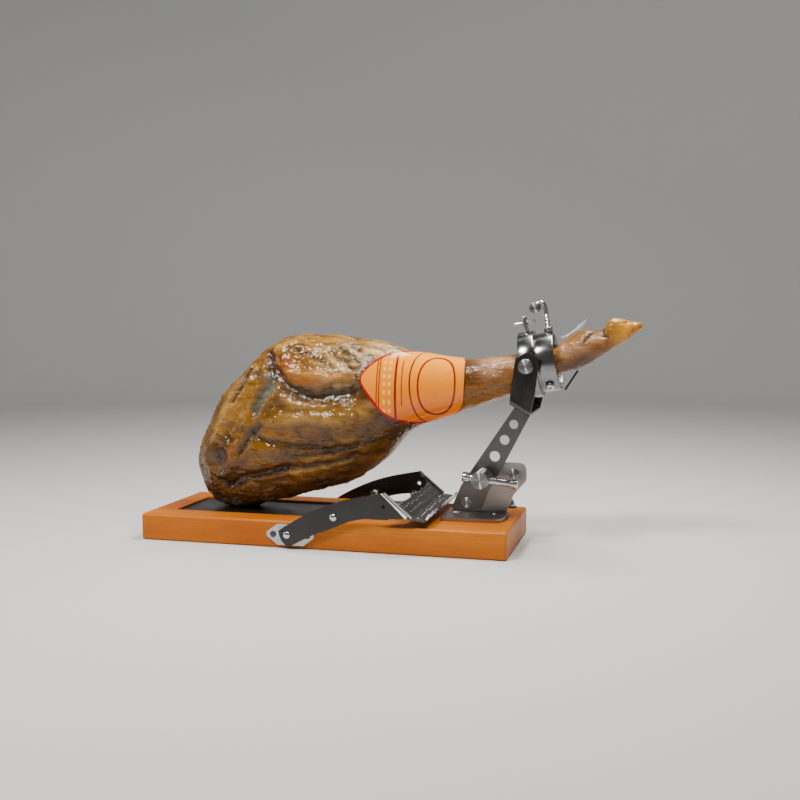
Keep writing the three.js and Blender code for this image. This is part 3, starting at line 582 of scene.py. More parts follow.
FLIP = Matrix.Scale(-1, 4, (0, 1, 0))
HEAD_CENTRE = at(296.5, 18, 267)
ARM_FACE = -107.6  # where the domed screws sit on the cradle's arms
BUSH_PROFILE = [
    (5.2, -55.7), (8.5, -55.7), (9, -55.2), (9, -49.8), (8.5, -49.3), (5.2, -49.3), (5.2, -55.7),
]
pivot = turned("pivot_bolt_turned", bolt_profile(8, 1.6, 5, 15.7, 34.3), "Y", at(201, 0, 58))
take_over(pivot, faced_y, "pivot_bolt")
stop = turned("stop_bolt", bolt_profile(8, 2.5, 4, 20, 30.3), "Y", at(271, 0, 103))
take_over(stop, faced_y, "lug_bolt")
for side, mirror in (("front", Matrix.Identity(4)), ("rear", FLIP)):
    trunnion_profile = bolt_profile(10.4, 8, 5, -60.3, -43.9)
    trunnion = turned(f"trunnion_{side}_turned", trunnion_profile, "Y", HEAD_CENTRE @ mirror)
    take_over(trunnion, faced_y, f"trunnion_{side}")
    bush = turned(f"bush_{side}", BUSH_PROFILE, "Y", HEAD_CENTRE @ mirror)
    take_over(bush, mirror_steel, f"trunnion_bush_{side}")
    for name, end, place, node in (
        ("arm_dome", -92.3, at(30.5, 0, 50.5), "arm_screw"),
        ("pivot_dome", -82, at(-41, 0, 21), "cradle_pivot"),
    ):
        dome = turned(f"{name}_{side}", dome_profile(ARM_FACE, end), "Y", mirror @ place, 40)
        take_over(dome, mirror_steel, f"{node}_{side}")
print("taken over so far:", len(stand_ins))

# %% [markdown]
# ## Countersunk screws
# The bracket's two screws have a star-shaped socket. The socket's rows of the profile get a
# ripple of six waves, so the same turning function can make it.

# %% Bracket screws and stud
SCREW_PROFILE = [
    (0, 14.3), (3.6, 18), (3.6, 41.2), (5.2, 42.5), (5.3, 42.8), (5.1, 43.0), (4.0, 43.0),
    (3.7, 42.7), (3.6, 41.4), (0, 41.2),
]
SOCKET_ROWS = (7, 8)
STUD_PROFILE = [
    (0, 26), (2.5, 26), (2.5, 42.6), (5.6, 42.6), (6, 43), (6, 45), (5.6, 46.4), (3.4, 52),
    (2.2, 53), (2.2, 60.4), (1.6, 61), (0, 61),
]
WASHER_PROFILE = [
    (2.8, 40.3), (8.4, 40.3), (9, 40.8), (9, 41.8), (8.4, 42.3), (2.8, 42.3), (2.8, 40.3),
]


def star(row, angle):
    """Six waves in the socket's wall, and none on the other rows."""
    return 0.55 * math.cos(6 * angle) if row in SOCKET_ROWS else 0.0


for side, x in (("left", 186), ("right", 246)):
    screw = turned(f"bracket_screw_{side}", SCREW_PROFILE, "Z", at(x, 4, 0), 72, star)
    take_over(screw, mirror_steel, f"foot_screw_{side}")
stud = turned("stud", STUD_PROFILE, "Z", at(257, 88, 0), 48)
take_over(stud, mirror_steel, "corner_stud")
washer = turned("washer", WASHER_PROFILE, "Z", at(257, 88, 0), 48)
take_over(washer, black_rubber, "corner_washer")
print("taken over so far:", len(stand_ins))

# %% [markdown]
# ## Rings of the head
# Two rings stand side by side: the collar hangs in the yoke, and the clamp ring swivels in it.
# Their rims are rounded, which draws the thin bright circles that part the broad bands.

# %% Rings
HEAD_TILT = 9.5  # degrees
HEAD = HEAD_CENTRE @ Matrix.Rotation(math.radians(-HEAD_TILT), 4, "Y")
COLLAR_PROFILE = [
    (41.9, -11.4), (47.6, -11.4), (48.6, -11.1), (49, -10.2), (49, 10.2), (48.6, 11.1),
    (47.6, 11.4), (41.9, 11.4), (41.9, -11.4),
]
CLAMP_PROFILE = [
    (38, -9), (41.5, -9), (41.5, 14.6), (42.2, 14.6), (42.9, 15), (43, 15.8), (43, 37.4),
    (42.7, 38.4), (41.8, 38.8), (39, 38.8), (38.2, 38.4), (38, 37.6), (38, -9),
]
collar = turned("collar_ring", COLLAR_PROFILE, "X", HEAD, 128)
take_over(collar, ring_steel_painted_dark, "collar")
clamp_ring = turned("clamp_ring_turned", CLAMP_PROFILE, "X", HEAD, 128)
take_over(clamp_ring, ring_steel_painted_dark, "clamp_ring")
print("taken over so far:", len(stand_ins))

# %% Screws of the head
CRANK = HEAD @ at(32.4, 0, 0)
SPIKE_ROLL = 137  # degrees round the ring, to either side
SPIKE_PROFILE = [
    (0, 28), (0.8, 28.4), (3.4, 35), (3.4, 43.3), (6, 43.3), (6.4, 43.7), (6.4, 49),
    (5.9, 49.8), (5.2, 50), (2.6, 50), (2.4, 48.4), (0, 48.2),
]
lock_pin = turned("lock_pin", rounded(4.3, 41.8, 71, 0.8), "Z", HEAD, 48)
take_over(lock_pin, mirror_steel, "lock_screw")
lock_bar = turned("lock_cross_bar", rounded(2.4, -16.5, 16.5, 1), "X", HEAD @ at(0, 0, 62), 40)
take_over(lock_bar, mirror_steel, "lock_bar")
crank_nut = turned("crank_nut_turned", rounded(6.6, 43.3, 50.3, 0.8), "Z", CRANK, 48)
take_over(crank_nut, mirror_steel, "crank_nut")
knob_place = CRANK @ at(-14.2, 0, 80.5)
crank_knob = turned("crank_knob_turned", rounded(8.2, -6, 6, 1.8), "Y", knob_place, 64)
take_over(crank_knob, faced_y, "crank_knob")
for side, turn in (("front", 1), ("rear", -1)):
    roll = HEAD @ Matrix.Rotation(turn * math.radians(SPIKE_ROLL), 4, "X") @ at(26, 0, 0)
    spike = turned(f"spike_{side}", SPIKE_PROFILE, "Z", roll, 48)
    take_over(spike, mirror_steel, f"spike_screw_{side}")
print("taken over so far:", len(stand_ins))

# %% [markdown]
# ## Clamp screw
# The clamp screw is threaded, and its round rod turns over at the top into a crook. The thread is
# one continuous helix: the radius at each point depends on its height and its angle together.
# The crook is a circle swept along a smooth curve.

# %% A smooth curve through points


def catmull_rom(four, t):
    """A point between the middle two of four knots, whose spacing follows their distances."""
    gaps = [max(math.sqrt(np.linalg.norm(four[k + 1] - four[k])), 1e-4) for k in range(3)]
    slope = []
    for k in (1, 2):
        before, after = four[k] - four[k - 1], four[k + 1] - four[k]
        wide = (four[k + 1] - four[k - 1]) / (gaps[k - 1] + gaps[k])
        slope.append((before / gaps[k - 1] - wide + after / gaps[k]) * gaps[1])
    a, b = four[1], four[2]
    cubic = 2 * a - 2 * b + slope[0] + slope[1]
    square = -3 * a + 3 * b - 2 * slope[0] - slope[1]
    return a + slope[0] * t + square * t * t + cubic * t**3


def smooth_path(points, steps):
    """Points along a centripetal Catmull-Rom curve, evenly spread between its knots."""
    knots = np.asarray(points, float)
    padded = np.vstack([2 * knots[0] - knots[1], knots, 2 * knots[-1] - knots[-2]])
    made = []
    for k in np.linspace(0, len(knots) - 1, steps):
        i = min(int(k), len(knots) - 2)
        made.append(catmull_rom(padded[i : i + 4], k - i))
    return np.array(made)


CROOK = [(0, 0, 66), (0.4, 0, 76), (-0.8, 0, 83), (-5.2, 0, 87), (-10.5, 0, 86.4), (-13, 0, 84.5)]
print("crook from", CROOK[0], "to", CROOK[-1])

# %% Thread and crook


def threaded_stem(name, placed, radius=4.6, pitch=5.0, depth=1.3, start=24, end=70):
    """A rod with one continuous thread, drawn in to a point at its lower end."""
    rows = 12 * int((end - start) / pitch)
    sides = 36
    points = []
    for i in range(rows + 1):
        height = start + (end - start) * i / rows
        point_taper = min(1, (height - start + 1) / 5)
        for j in range(sides):
            angle = 2 * math.pi * j / sides
            turn = (height / pitch - angle / (2 * math.pi)) % 1
            reach = (radius - depth * abs(2 * turn - 1)) * point_taper
            points.append((reach * math.cos(angle), reach * math.sin(angle), height))
    faces = grid_faces(rows + 1, sides)
    faces += [tuple(range(sides))[::-1], tuple(rows * sides + j for j in range(sides))]
    return new_piece(name, points, faces, placed)


def swept_rod(name, route, radius, placed, steps=48, sides=28):
    """A round rod along a route that lies in the local XZ plane."""
    path = smooth_path(route, steps)
    ahead = np.gradient(path, axis=0)
    ahead /= np.linalg.norm(ahead, axis=1)[:, None]
    across = np.cross([0, 1, 0], ahead)
    points = [
        path[i] + radius * (math.cos(a) * across[i] + math.sin(a) * np.array([0, 1, 0]))
        for i in range(steps)
        for a in np.arange(sides) * 2 * math.pi / sides
    ]
    faces = grid_faces(steps, sides)
    faces += [tuple(range(sides)), tuple((steps - 1) * sides + j for j in range(sides))[::-1]]
    return new_piece(name, points, faces, placed)


def add(piece, look, body):
    """A piece that stands for no node of its own gets its finish and moves with a body."""
    piece.data.materials.append(look)
    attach(piece, body)


stem = threaded_stem("threaded_stem", CRANK)
take_over(stem, mirror_steel, "crank_screw")
crook = swept_rod("crook", CROOK, 3.3, CRANK)
add(crook, mirror_steel, body_holding["crank_screw"])
print("thread faces:", len(stem.data.polygons), "crook faces:", len(crook.data.polygons))

# %% [markdown]
# ## Cradle details
# Where the cradle's plate turns into its arms, bright bars along the bends paint the highlight
# that the rounded bends catch: two bands with a dark line between them. The plate itself is
# punched from below, which leaves rows of small raised burrs that grip the ham; their paler steel
# is a painted highlight that shows them as bright specks. The burrs are one mesh, made in a loop.

# %% Painted highlights on the bends
BEND_ROWS, BEND_SIDES = 14, 16
OUTER_BEND_FACE, INNER_BEND_FACE = 107.3, 105.3
SQUARENESS = 0.6  # 1 is an oval section, and smaller is squarer


def slanted_bar(name, start, end, wide_start, wide_end, y, depth):
    """A bar with rounded long edges down the slant of the plate, wider at its lower end."""
    start, end = np.asarray(start, float), np.asarray(end, float)
    along = (end - start) / np.linalg.norm(end - start)
    side = np.array([-along[1], along[0]])
    points = []
    for place in np.linspace(0, 1, BEND_ROWS):
        middle = start + (end - start) * place
        wide = (wide_start + (wide_end - wide_start) * place**2) / 2
        for j in range(BEND_SIDES):
            angle = 2 * math.pi * j / BEND_SIDES
            reach = wide * np.sign(math.cos(angle)) * abs(math.cos(angle)) ** SQUARENESS
            proud = depth * np.sign(math.sin(angle)) * abs(math.sin(angle)) ** SQUARENESS
            x, z = middle - side * reach
            points.append((x, y + proud, z))
    faces = grid_faces(BEND_ROWS, BEND_SIDES)
    last_row = (BEND_ROWS - 1) * BEND_SIDES
    faces.append(tuple(range(BEND_SIDES)))
    faces.append(tuple(last_row + j for j in range(BEND_SIDES))[::-1])
    return new_piece(name, points, faces)


# Near-white bars on each bend, front and rear: a painted highlight on the arm's dark steel.
for side, sign in (("front", -1), ("rear", 1)):
    for name, start, end, wide_start, wide_end, face, depth in (
        ("bend_highlight_outer", (102.6, 88.6), (139.5, 55.5), 2.6, 6.6, OUTER_BEND_FACE, 0.9),
        ("bend_highlight_inner", (106.0, 89.0), (146, 55), 2.8, 3.8, INNER_BEND_FACE, 1.5),
    ):
        bend = slanted_bar(f"{name}_{side}", start, end, wide_start, wide_end, sign * face, depth)
        add(bend, bend_highlight_steel, "cradle")
print("faces of a bend:", len(bend.data.polygons))

# %% Burrs
PLATE_TOP_EDGE = np.array([104.5, 88.5])
PLATE_FOLD = np.array([144.5, 54.5])
PLATE_LIP = np.array([165.0, 52.5])
BURR_STRIPS = [
    # a strip's upper and lower edge, then how far down it each row of burrs lies
    (PLATE_TOP_EDGE, PLATE_FOLD, (26, 35, 44)),
    (PLATE_FOLD, PLATE_LIP, (9,)),
]
BURR_PITCH = 14


def burr(middle, normal, radius=1.3, height=1.2, sides=9):
    """A little crater: a cone whose tip is torn open."""
    normal = Vector(normal).normalized()
    turn = normal.to_track_quat("Z", "Y").to_matrix()
    wall = [(radius, 0), (radius * 0.62, height * 0.6), (radius * 0.42, height)]
    profile = [*wall, (radius * 0.22, height * 0.5)]
    rings = lathe_points(profile, sides) @ np.array(turn).T + np.asarray(middle)
    faces = grid_faces(len(profile), sides)
    faces.append(tuple(len(wall) * sides + j for j in range(sides)))
    return rings, faces


def burr_rows():
    """Places and normals of the burrs on the slanted plate and on its lip."""
    random = np.random.default_rng(7)
    for start, end, reaches in BURR_STRIPS:
        along = (end - start) / np.linalg.norm(end - start)
        normal = (-along[1], 0, along[0])
        for k, reach in enumerate(reaches):
            for y in np.arange(-94 + BURR_PITCH // 2 * (k % 2), 95, BURR_PITCH):
                x, z = start + along * (reach + random.uniform(-1.6, 1.6))
                yield (x, y + random.uniform(-2.5, 2.5), z), normal


points, faces = [], []
for middle, normal in burr_rows():
    ring_points, ring_faces = burr(middle, normal)
    faces += [tuple(len(points) + k for k in face) for face in ring_faces]
    points += ring_points.tolist()
burrs = new_piece("burrs", points, faces)
# The burrs take the bracket's paler steel, not the plate's: a painted highlight that shows them as
# bright specks.
add(burrs, flange_steel, "cradle")
print("burr faces:", len(faces))

# %% [markdown]
# ## The ham's shape
# The ham is a leg lofted along its length: stations give the top, the bottom and the half width,
# and a smooth curve joins them. Creases, ridges and hollows are then pressed into that surface.
# Each is a short line with a width and a depth, so the shape stays easy to change. Three scales
# of noise make the skin lumpy, wrinkled and rough between them.

# %% Stations of the leg
PLATE_REST = 37.6  # the top of the inset plate
HOOF_TOP = 334.5
BUTT, BUTT_TO_HEAD = -236, 532.5
SPINE_AT_BUTT, SPINE_AT_HEAD = 14, 18  # how far back the leg's middle lies
ROUNDNESS = 0.92  # 1 is an oval section, and smaller is squarer
STATIONS = np.array([
    # x, top, bottom, half width
    (-236, 110, 104, 2), (-232, 127, 90, 15), (-222, 152, 69, 29), (-204, 190, 44, 44),
    (-180, 229, 37.6, 56), (-148, 257, 37.6, 65), (-115, 290, 45, 71), (-80, 306, 55, 73),
    (-20, 308, 71, 72), (35, 306.5, 91, 68), (80, 299, 124, 60), (115, 286, 163, 50),
    (145, 280.5, 179, 43), (190, 274.5, 194, 37), (235, 277.5, 210.5, 31), (275, 281.5, 225, 27),
    (322, 287, 247, 22), (345, 304, 255, 23), (372, 317, 264, 25), (397, 318.5, 279, 21.5),
    (412, 334, 288.5, 20), (432, 332, 301, 15.5), (448, 329.5, 314.5, 9), (453, 328, 319.5, 5),
])


def leg_rows(count):
    """x, top, bottom and half width at even steps from butt to hoof."""
    top, bottom, wide = (smooth_path(STATIONS[:, [0, k]], count) for k in (1, 2, 3))
    return np.column_stack([top[:, 0], top[:, 1], bottom[:, 1], wide[:, 1]])


def leg_surface(rows, angles, proud=0.0):
    """Points of the skin for rows of the leg and angles from the front over the top."""
    x, top, bottom, wide = (rows[:, [k]] for k in range(4))
    drift = (SPINE_AT_HEAD - SPINE_AT_BUTT) * (x - BUTT) / BUTT_TO_HEAD
    middle = np.minimum(SPINE_AT_BUTT + drift, SPINE_AT_HEAD)
    across = np.sign(np.cos(angles)) * np.abs(np.cos(angles)) ** ROUNDNESS
    upward = np.sign(np.sin(angles)) * np.abs(np.sin(angles)) ** ROUNDNESS
    y = middle - (wide + proud) * across
    z = (top + bottom) / 2 + ((top - bottom) / 2 + proud) * upward
    return np.stack([np.broadcast_to(x, y.shape), y, np.maximum(z, PLATE_REST)], axis=-1)


print("leg from", STATIONS[0, 0], "to", STATIONS[-1, 0], "mm")

# %% Lines that are pressed into it
CREASES = [
    # depth, width, then x and z along the line
    (9.0, 9, [(-83, 263), (-58, 233), (-15, 221), (32, 225), (58, 236)]),
    (7.0, 9, [(-106, 300), (-94, 269), (-84, 245), (-101, 219), (-114, 193)]),
    (3.2, 4, [(-119, 163), (-86, 150), (-38, 143), (25, 142), (79, 157), (120, 176)]),
    (5.0, 5, [(-168, 74), (-138, 91), (-102, 99), (-56, 110), (-8, 118), (39, 129), (82, 139)]),
    (5.5, 7, [(-138, 131), (-121, 156), (-101, 175)]),
    (3.5, 6, [(-192, 93), (-158, 78), (-128, 86)]),
    (2.4, 3, [(14, 293), (40, 277), (65, 256)]),
    (2.2, 3, [(28, 299), (54, 285), (76, 271)]),
    (2.4, 3, [(0, 287), (31, 266), (54, 245)]),
    (2.5, 4, [(91, 154), (111, 166), (129, 181)]),
    (3.0, 4, [(-55, 287), (-15, 277), (12, 262)]),
    (2.0, 3, [(-150, 205), (-132, 232), (-118, 262)]),
    (2.0, 3, [(-60, 128), (-20, 133), (30, 138)]),
    (2.6, 3, [(373, 300), (381, 309), (391, 316)]),
    (2.2, 3, [(396, 322), (401, 312), (409, 306)]),
]
RIDGES = [
    (6.0, 12, [(-88, 177), (-37, 188), (26, 188), (64, 203), (90, 222)]),
    (4.0, 10, [(-60, 101), (-16, 113), (35, 126)]),
    (6.0, 13, [(-182, 147), (-166, 186), (-141, 225), (-121, 259)]),
    (4.0, 9, [(-61, 256), (-22, 249), (25, 243)]),
    (3.0, 8, [(-90, 287), (-67, 298), (-45, 303)]),
    (2.5, 6, [(-70, 216), (-40, 206), (10, 205)]),
    (2.2, 5, [(404, 328), (416, 331), (428, 328)]),
]
KNUCKLE = (-177, 121)  # the end of the cut bone, a dark hollow with a raised rim
print("creases:", len(CREASES), "ridges:", len(RIDGES))

# %% How near a point lies to a line, and noise at a point


def near_line(x, z, width, line):
    """1 on the line, falling smoothly to 0 within about its width; it thins out at its ends."""
    best = np.full(x.shape, np.inf)
    line = smooth_path(line, 6 * len(line))
    for k, ((x0, z0), (x1, z1)) in enumerate(zip(line[:-1], line[1:])):
        dx, dz = x1 - x0, z1 - z0
        t = np.clip(((x - x0) * dx + (z - z0) * dz) / (dx * dx + dz * dz), 0, 1)
        place = (k + t) / (len(line) - 1)
        thin = 0.35 + 0.65 * np.sqrt(np.maximum(0, np.sin(math.pi * place)))
        reach = np.hypot(x - x0 - t * dx, z - z0 - t * dz) / thin
        best = np.minimum(best, reach)
    return np.exp(-((best / width) ** 2))


def noise_at(points, scale, seed, stretch=(1, 1, 1), octaves=3):
    """Fractal noise from about -1 to 1 at points in millimetres; scale is the grain in mm."""
    offset = Vector((seed * 17.3, seed * 5.1, seed * 9.7))
    made = []
    for point in points.reshape(-1, 3):
        place = Vector([float(k) for k in point * stretch]) / scale + offset
        made.append(noise.fractal(place, 1.0, 2.0, octaves))
    return np.array(made).reshape(points.shape[:-1])


def smooth_step(value, low, high):
    """0 up to the low value, 1 from the high one, and a soft slope between them."""
    t = np.clip((value - low) / (high - low), 0, 1)
    return t * t * (3 - 2 * t)


print("a noise value:", round(float(noise_at(np.zeros((1, 3)), 14, 3)[0]), 3))

# %% [markdown]
# ## Pressing the relief
# The lines were set out on the side that faces the front. The back of the leg gets the same
# family of folds, shifted and softened, so that it reads as the same meat from behind. Nothing is
# pressed in under the label, and the flat patch that rests on the plate stays flat.

# %% A smooth skin to press into
ALONG, AROUND = 420, 240
rows = leg_rows(ALONG)
angles = np.arange(AROUND) * 2 * math.pi / AROUND
skin = leg_surface(rows, angles[None, :])
across_rows = np.gradient(skin, axis=0)
around_rows = np.roll(skin, -1, axis=1) - np.roll(skin, 1, axis=1)
normals = np.cross(around_rows, across_rows)
normals /= np.maximum(np.linalg.norm(normals, axis=-1, keepdims=True), 1e-9)
outward = skin - skin.mean(axis=1, keepdims=True)
normals *= np.sign((normals * outward).sum(-1, keepdims=True) + 1e-9)
X, Y, Z = (skin[..., k] for k in range(3))
print("skin points:", X.size)

# %% Press the lines in
front = smooth_step(-normals[..., 1], -0.15, 0.25)
back = 1 - front
# crease keeps where the creases lie, for the painted shade that the skin finish lays in them.
crease = np.zeros_like(X)
ridge = np.zeros_like(X)
relief = np.zeros_like(X)
wander = noise_at(skin, 14, 3)
for lines, sign, kept in ((CREASES, -1, crease), (RIDGES, 1, ridge)):
    for depth, width, line in lines:
        near = near_line(X + 2.5 * wander, Z + 2.5 * wander, width, line)
        far = near_line(-X * 0.8 - 40, Z + 6, width * 1.2, line) * (X < 150)
        pressed = front * near + 0.6 * back * far
        relief += sign * depth * pressed
        kept[:] = np.maximum(kept, pressed)
knuckle_reach = np.hypot(X - KNUCKLE[0], (Z - KNUCKLE[1]) * 0.9)
knuckle = front * np.exp(-((knuckle_reach / 15) ** 2))
rim = front * np.exp(-(((knuckle_reach - 25) / 7) ** 2))
relief += 5 * rim - 8 * knuckle
print("deepest crease:", round(relief.min(), 1), "mm")

# %% Add lumps and wrinkles, and spare the label and the ends
lumps = noise_at(skin, 46, 1)
wrinkles = np.abs(noise_at(skin, 21, 2, (0.5, 1, 1.2), 4)) ** 0.7
fine = np.abs(noise_at(skin, 8, 5, (0.55, 1, 1.2), 3)) ** 0.8
shank = smooth_step(X, 150, 235)
thick = 1 - 0.6 * shank
smooth_facet = np.exp(-(((X + 15) / 85) ** 4 + ((Z - 163) / 19) ** 4)) * front
relief += thick * (3.4 * lumps + (1 - 0.8 * smooth_facet) * (3.6 * wrinkles + 1.0 * fine - 2.1))
under_label = smooth_step(X, 42, 56) * (1 - smooth_step(X, 206, 216)) * smooth_step(-Y, -60, -20)
relief = np.where(under_label > 0, relief * (1 - under_label) - 0.4 * under_label, relief)
toe_slot = np.exp(-(((Y - SPINE_AT_HEAD) / 2.6) ** 2)) * (normals[..., 2] > -0.3)
relief -= 3.5 * smooth_step(X, 396, 440) * toe_slot
ends = smooth_step(X, -236, -222) * (1 - smooth_step(X, 440, 453))
relief *= ends
skin = skin + normals * relief[..., None]
skin[..., 2] = np.maximum(skin[..., 2], PLATE_REST)
skin[..., 2] = np.minimum(skin[..., 2], HOOF_TOP)
print("relief from", round(relief.min(), 1), "to", round(relief.max(), 1), "mm")

# %% Join the skin's points
flat = skin.reshape(-1, 3)
tips = [skin[0].mean(axis=0), skin[-1].mean(axis=0)]
faces = grid_faces(ALONG, AROUND)
faces += [(len(flat), (j + 1) % AROUND, j) for j in range(AROUND)]
last = (ALONG - 1) * AROUND
faces += [(len(flat) + 1, last + j, last + (j + 1) % AROUND) for j in range(AROUND)]
ham = new_piece("ham_skin", np.vstack([flat, tips]), faces)
for polygon in ham.data.polygons:
    polygon.use_smooth = True
if "sharp_edge" in ham.data.attributes:
    ham.data.attributes.remove(ham.data.attributes["sharp_edge"])
print("ham faces:", len(ham.data.polygons))

# %% [markdown]
# ## Marking the skin
# Where a crease, a ridge, mould or bare fat lies is known from the shape, so each is stored as a
# number at every point of the mesh. The finish reads these numbers, and needs no image.

# %% Numbers on the skin


def patch(x, z, wide, tall, side=front):
    """A soft oval patch, on the front side unless another is given."""
    return side * np.exp(-(((X - x) / wide) ** 2 + ((Z - z) / tall) ** 2))


mould = front * near_line(X, Z, 11, [(-97, 250), (-88, 236), (-102, 214), (-112, 196)])
mould = np.maximum(mould, 0.45 * patch(-190, 112, 14, 20))
pale = np.maximum(patch(60, 288, 60, 16, side=1), 0.8 * patch(20, 262, 40, 26))
pale = np.maximum(pale, smooth_step(Z, 296, 308) * 0.5 * smooth_step(X, -40, 60))
red = front * near_line(X, Z, 4, [(-166, 107), (-155, 129), (-142, 142)])
red = np.maximum(red, 0.5 * front * near_line(X, Z, 7, [(-80, 252), (-40, 246), (0, 238)]))
# The top and the upper left: partly the fat's own golden colour, partly painted light from above and
# the left.
golden = np.maximum(patch(-150, 235, 40, 60), smooth_step(Z, 270, 305))
amber = np.maximum(patch(-62, 268, 26, 12), 0.8 * patch(-5, 250, 45, 9))
# Painted highlights: pale pink spots on the shank where the light catches the skin.
PINK_HIGHLIGHTS = [
    # strength, then x, z, width and height
    (1.0, (241, 258, 18, 9)), (0.8, (250, 270, 30, 8)), (0.8, (358, 291, 22, 7)),
    (0.7, (386, 305, 16, 6)), (0.6, (345, 281, 12, 5)),
]
MARKS = {
    "golden": golden * (1 - pale),
    "amber": amber,
    "crease": crease,
    "ridge": ridge,
    "mould": mould,
    "pale": pale,
    "red": red,
    "knuckle": knuckle,
    "shank": shank,
    "hoof": smooth_step(X, 402, 430),
    "pink": sum(strength * patch(*place) for strength, place in PINK_HIGHLIGHTS),
}
for name, numbers in MARKS.items():
    mark = ham.data.attributes.new(name, "FLOAT", "POINT")
    mark.data.foreach_set("value", np.append(numbers.reshape(-1), [0, 0]).astype(np.float32))
print("marks:", ", ".join(MARKS))

# %% [markdown]
# ## The ham's skin
# Cured skin is a glaze of oil over golden fat, brown meat and olive mould. The colour starts from
# three tones laid over each other with noise. The top and upper left turn golden, partly the fat's
# own colour and partly painted light from above and the left. The creases then go dark with
# painted shade, the ridges pale with a painted highlight, and pale pink spots paint highlights on
# the shank. The marks above add mould, red streaks and bare fat. The oil is a coat over a rougher
# skin, and soft bumps of a few millimetres break its highlights into glints.

# %% Skin finish


def ham_finish():
    cured = Finish("cured skin")
    broad = cured.noise(17, 4, distortion=0.4)
    streaks = cured.noise(70, 5, (0.35, 1, 1), distortion=0.8)
    specks = cured.noise(330, 4)

    def whole(mark, amount):
        """A mark's strength, the same all over it."""
        return cured.math("MULTIPLY", cured.value(mark), amount)

    def broken(mark, low, high):
        """A mark's strength, broken up by the streaks."""
        return cured.math("MULTIPLY", cured.value(mark), cured.span(streaks, 0.35, 0.62, low, high))

    tone = cured.blend(cured.span(broad, 0.38, 0.62), (0.066, 0.023, 0.0), (0.21, 0.082, 0.0))
    # Partly golden fat, partly painted light on the top and upper left.
    tone = cured.blend(broken("golden", 0.9, 0.25), tone, (0.43, 0.18, 0.002))
    tone = cured.blend(cured.span(streaks, 0.45, 0.68, 0, 0.85), tone, (0.050, 0.022, 0.0))
    tone = cured.blend(cured.span(specks, 0.58, 0.75, 0, 0.2), tone, (0.52, 0.27, 0.03))
    tone = cured.blend(broken("pale", 0.9, 0.15), tone, (0.74, 0.47, 0.18))
    tone = cured.blend(broken("amber", 0.85, 0.3), tone, (0.46, 0.105, 0.0))
    # Painted highlight: the ridges go pale.
    tone = cured.blend(broken("ridge", 0.55, 0.2), tone, (0.60, 0.32, 0.06))
    shank_tone = cured.blend(cured.span(broad, 0.36, 0.62), (0.075, 0.020, 0.0), (0.33, 0.12, 0.008))
    tone = cured.blend(whole("shank", 0.85), tone, shank_tone)
    # Painted highlights on the shank.
    tone = cured.blend(broken("pink", 0.85, 0.3), tone, (0.74, 0.44, 0.27))
    tone = cured.blend(whole("red", 0.75), tone, (0.36, 0.055, 0.002))
    # Painted shade: the creases go nearly black.
    tone = cured.blend(whole("crease", 0.9), tone, (0.020, 0.008, 0.0))
    tone = cured.blend(broken("mould", 0.8, 0.2), tone, (0.13, 0.15, 0.11))
    tone = cured.blend(broken("knuckle", 0.98, 0.7), tone, (0.018, 0.011, 0.003))
    hoof_tone = cured.blend(cured.span(streaks, 0.35, 0.65), (0.78, 0.35, 0.03), (0.42, 0.15, 0.008))
    tone = cured.blend(cured.value("hoof"), tone, hoof_tone)
    folding = cured.noise(85, 6, (0.6, 1, 1.1), 0.65, 0.6)
    folds = cured.math("ABSOLUTE", cured.math("SUBTRACT", folding, 0.5))
    pimples = cured.math("MULTIPLY", cured.noise(420, 3), 0.16)
    rough_skin = cured.bump(cured.math("ADD", folds, pimples), 0.004)
    oily_skin = cured.bump(cured.noise(140, 2, (0.75, 1, 1.1)), 0.0027)
    cured.set(
        Base_Color=tone,
        Roughness=cured.span(broad, 0.3, 0.7, 0.4, 0.6),
        Normal=rough_skin,
        Coat_Normal=oily_skin,
        Coat_Roughness=0.10,
        Coat_Weight=0.85,
        Specular_IOR_Level=0.06,
        Subsurface_Weight=0.06,
        Subsurface_Radius=(0.004, 0.002, 0.001),
    )
    return cured.material


take_over(ham, ham_finish(), "ham")
print("skin nodes:", len(ham.active_material.node_tree.nodes))

# %% [markdown]
# ## The label
# The label is a leaf of glossy paper wrapped round the front of the shank. It follows the leg's
# own surface a little proud of it. Each point carries how far it lies from the paper's edge and
# where it lies along and round the leg, and the finish draws plain lines and fields with them.

# %% Label grid
LABEL_LEFT, LABEL_RIGHT, LABEL_HALF_GIRTH = 52, 203.5, 70.5
TIP_ANGLE, END_ANGLE = 23, 15.5  # degrees above the leg's middle
LABEL_ALONG, LABEL_AROUND = 120, 96


def leaf(place):
    """The label's width from its pointed end to its blunt one, from 0 to 1."""
    return np.sin(math.pi * place**2) ** 0.33


def label_grid(proud):
    """Points of the label, and each one's place along it, round the leg and in from its edge."""
    steps = np.linspace(0.05, 0.97, LABEL_ALONG)
    place = 0.5 - 0.5 * np.cos(math.pi * steps)
    x = LABEL_LEFT + (LABEL_RIGHT - LABEL_LEFT) * place
    fine_rows = leg_rows(1200)
    heights = [np.interp(x, fine_rows[:, 0], fine_rows[:, k]) for k in (1, 2, 3)]
    rows = np.column_stack([x, *heights])
    girth = ((rows[:, 1] - rows[:, 2]) / 2 + rows[:, 3]) / 2
    half = LABEL_HALF_GIRTH * leaf(place)
    centre = np.radians(np.interp(2 * place, [0, 1], [TIP_ANGLE, END_ANGLE]))
    across = np.linspace(-1, 1, LABEL_AROUND)
    turn = centre[:, None] + (half / girth)[:, None] * across[None, :]
    points = leg_surface(rows, turn, proud)
    girthways = half[:, None] * across[None, :]
    along = np.broadcast_to(x[:, None], girthways.shape)
    inward = half[:, None] * (1 - np.abs(across))
    return points, along, girthways, inward


print("label width at its middle:", round(2 * LABEL_HALF_GIRTH * float(leaf(0.5)), 1), "mm")

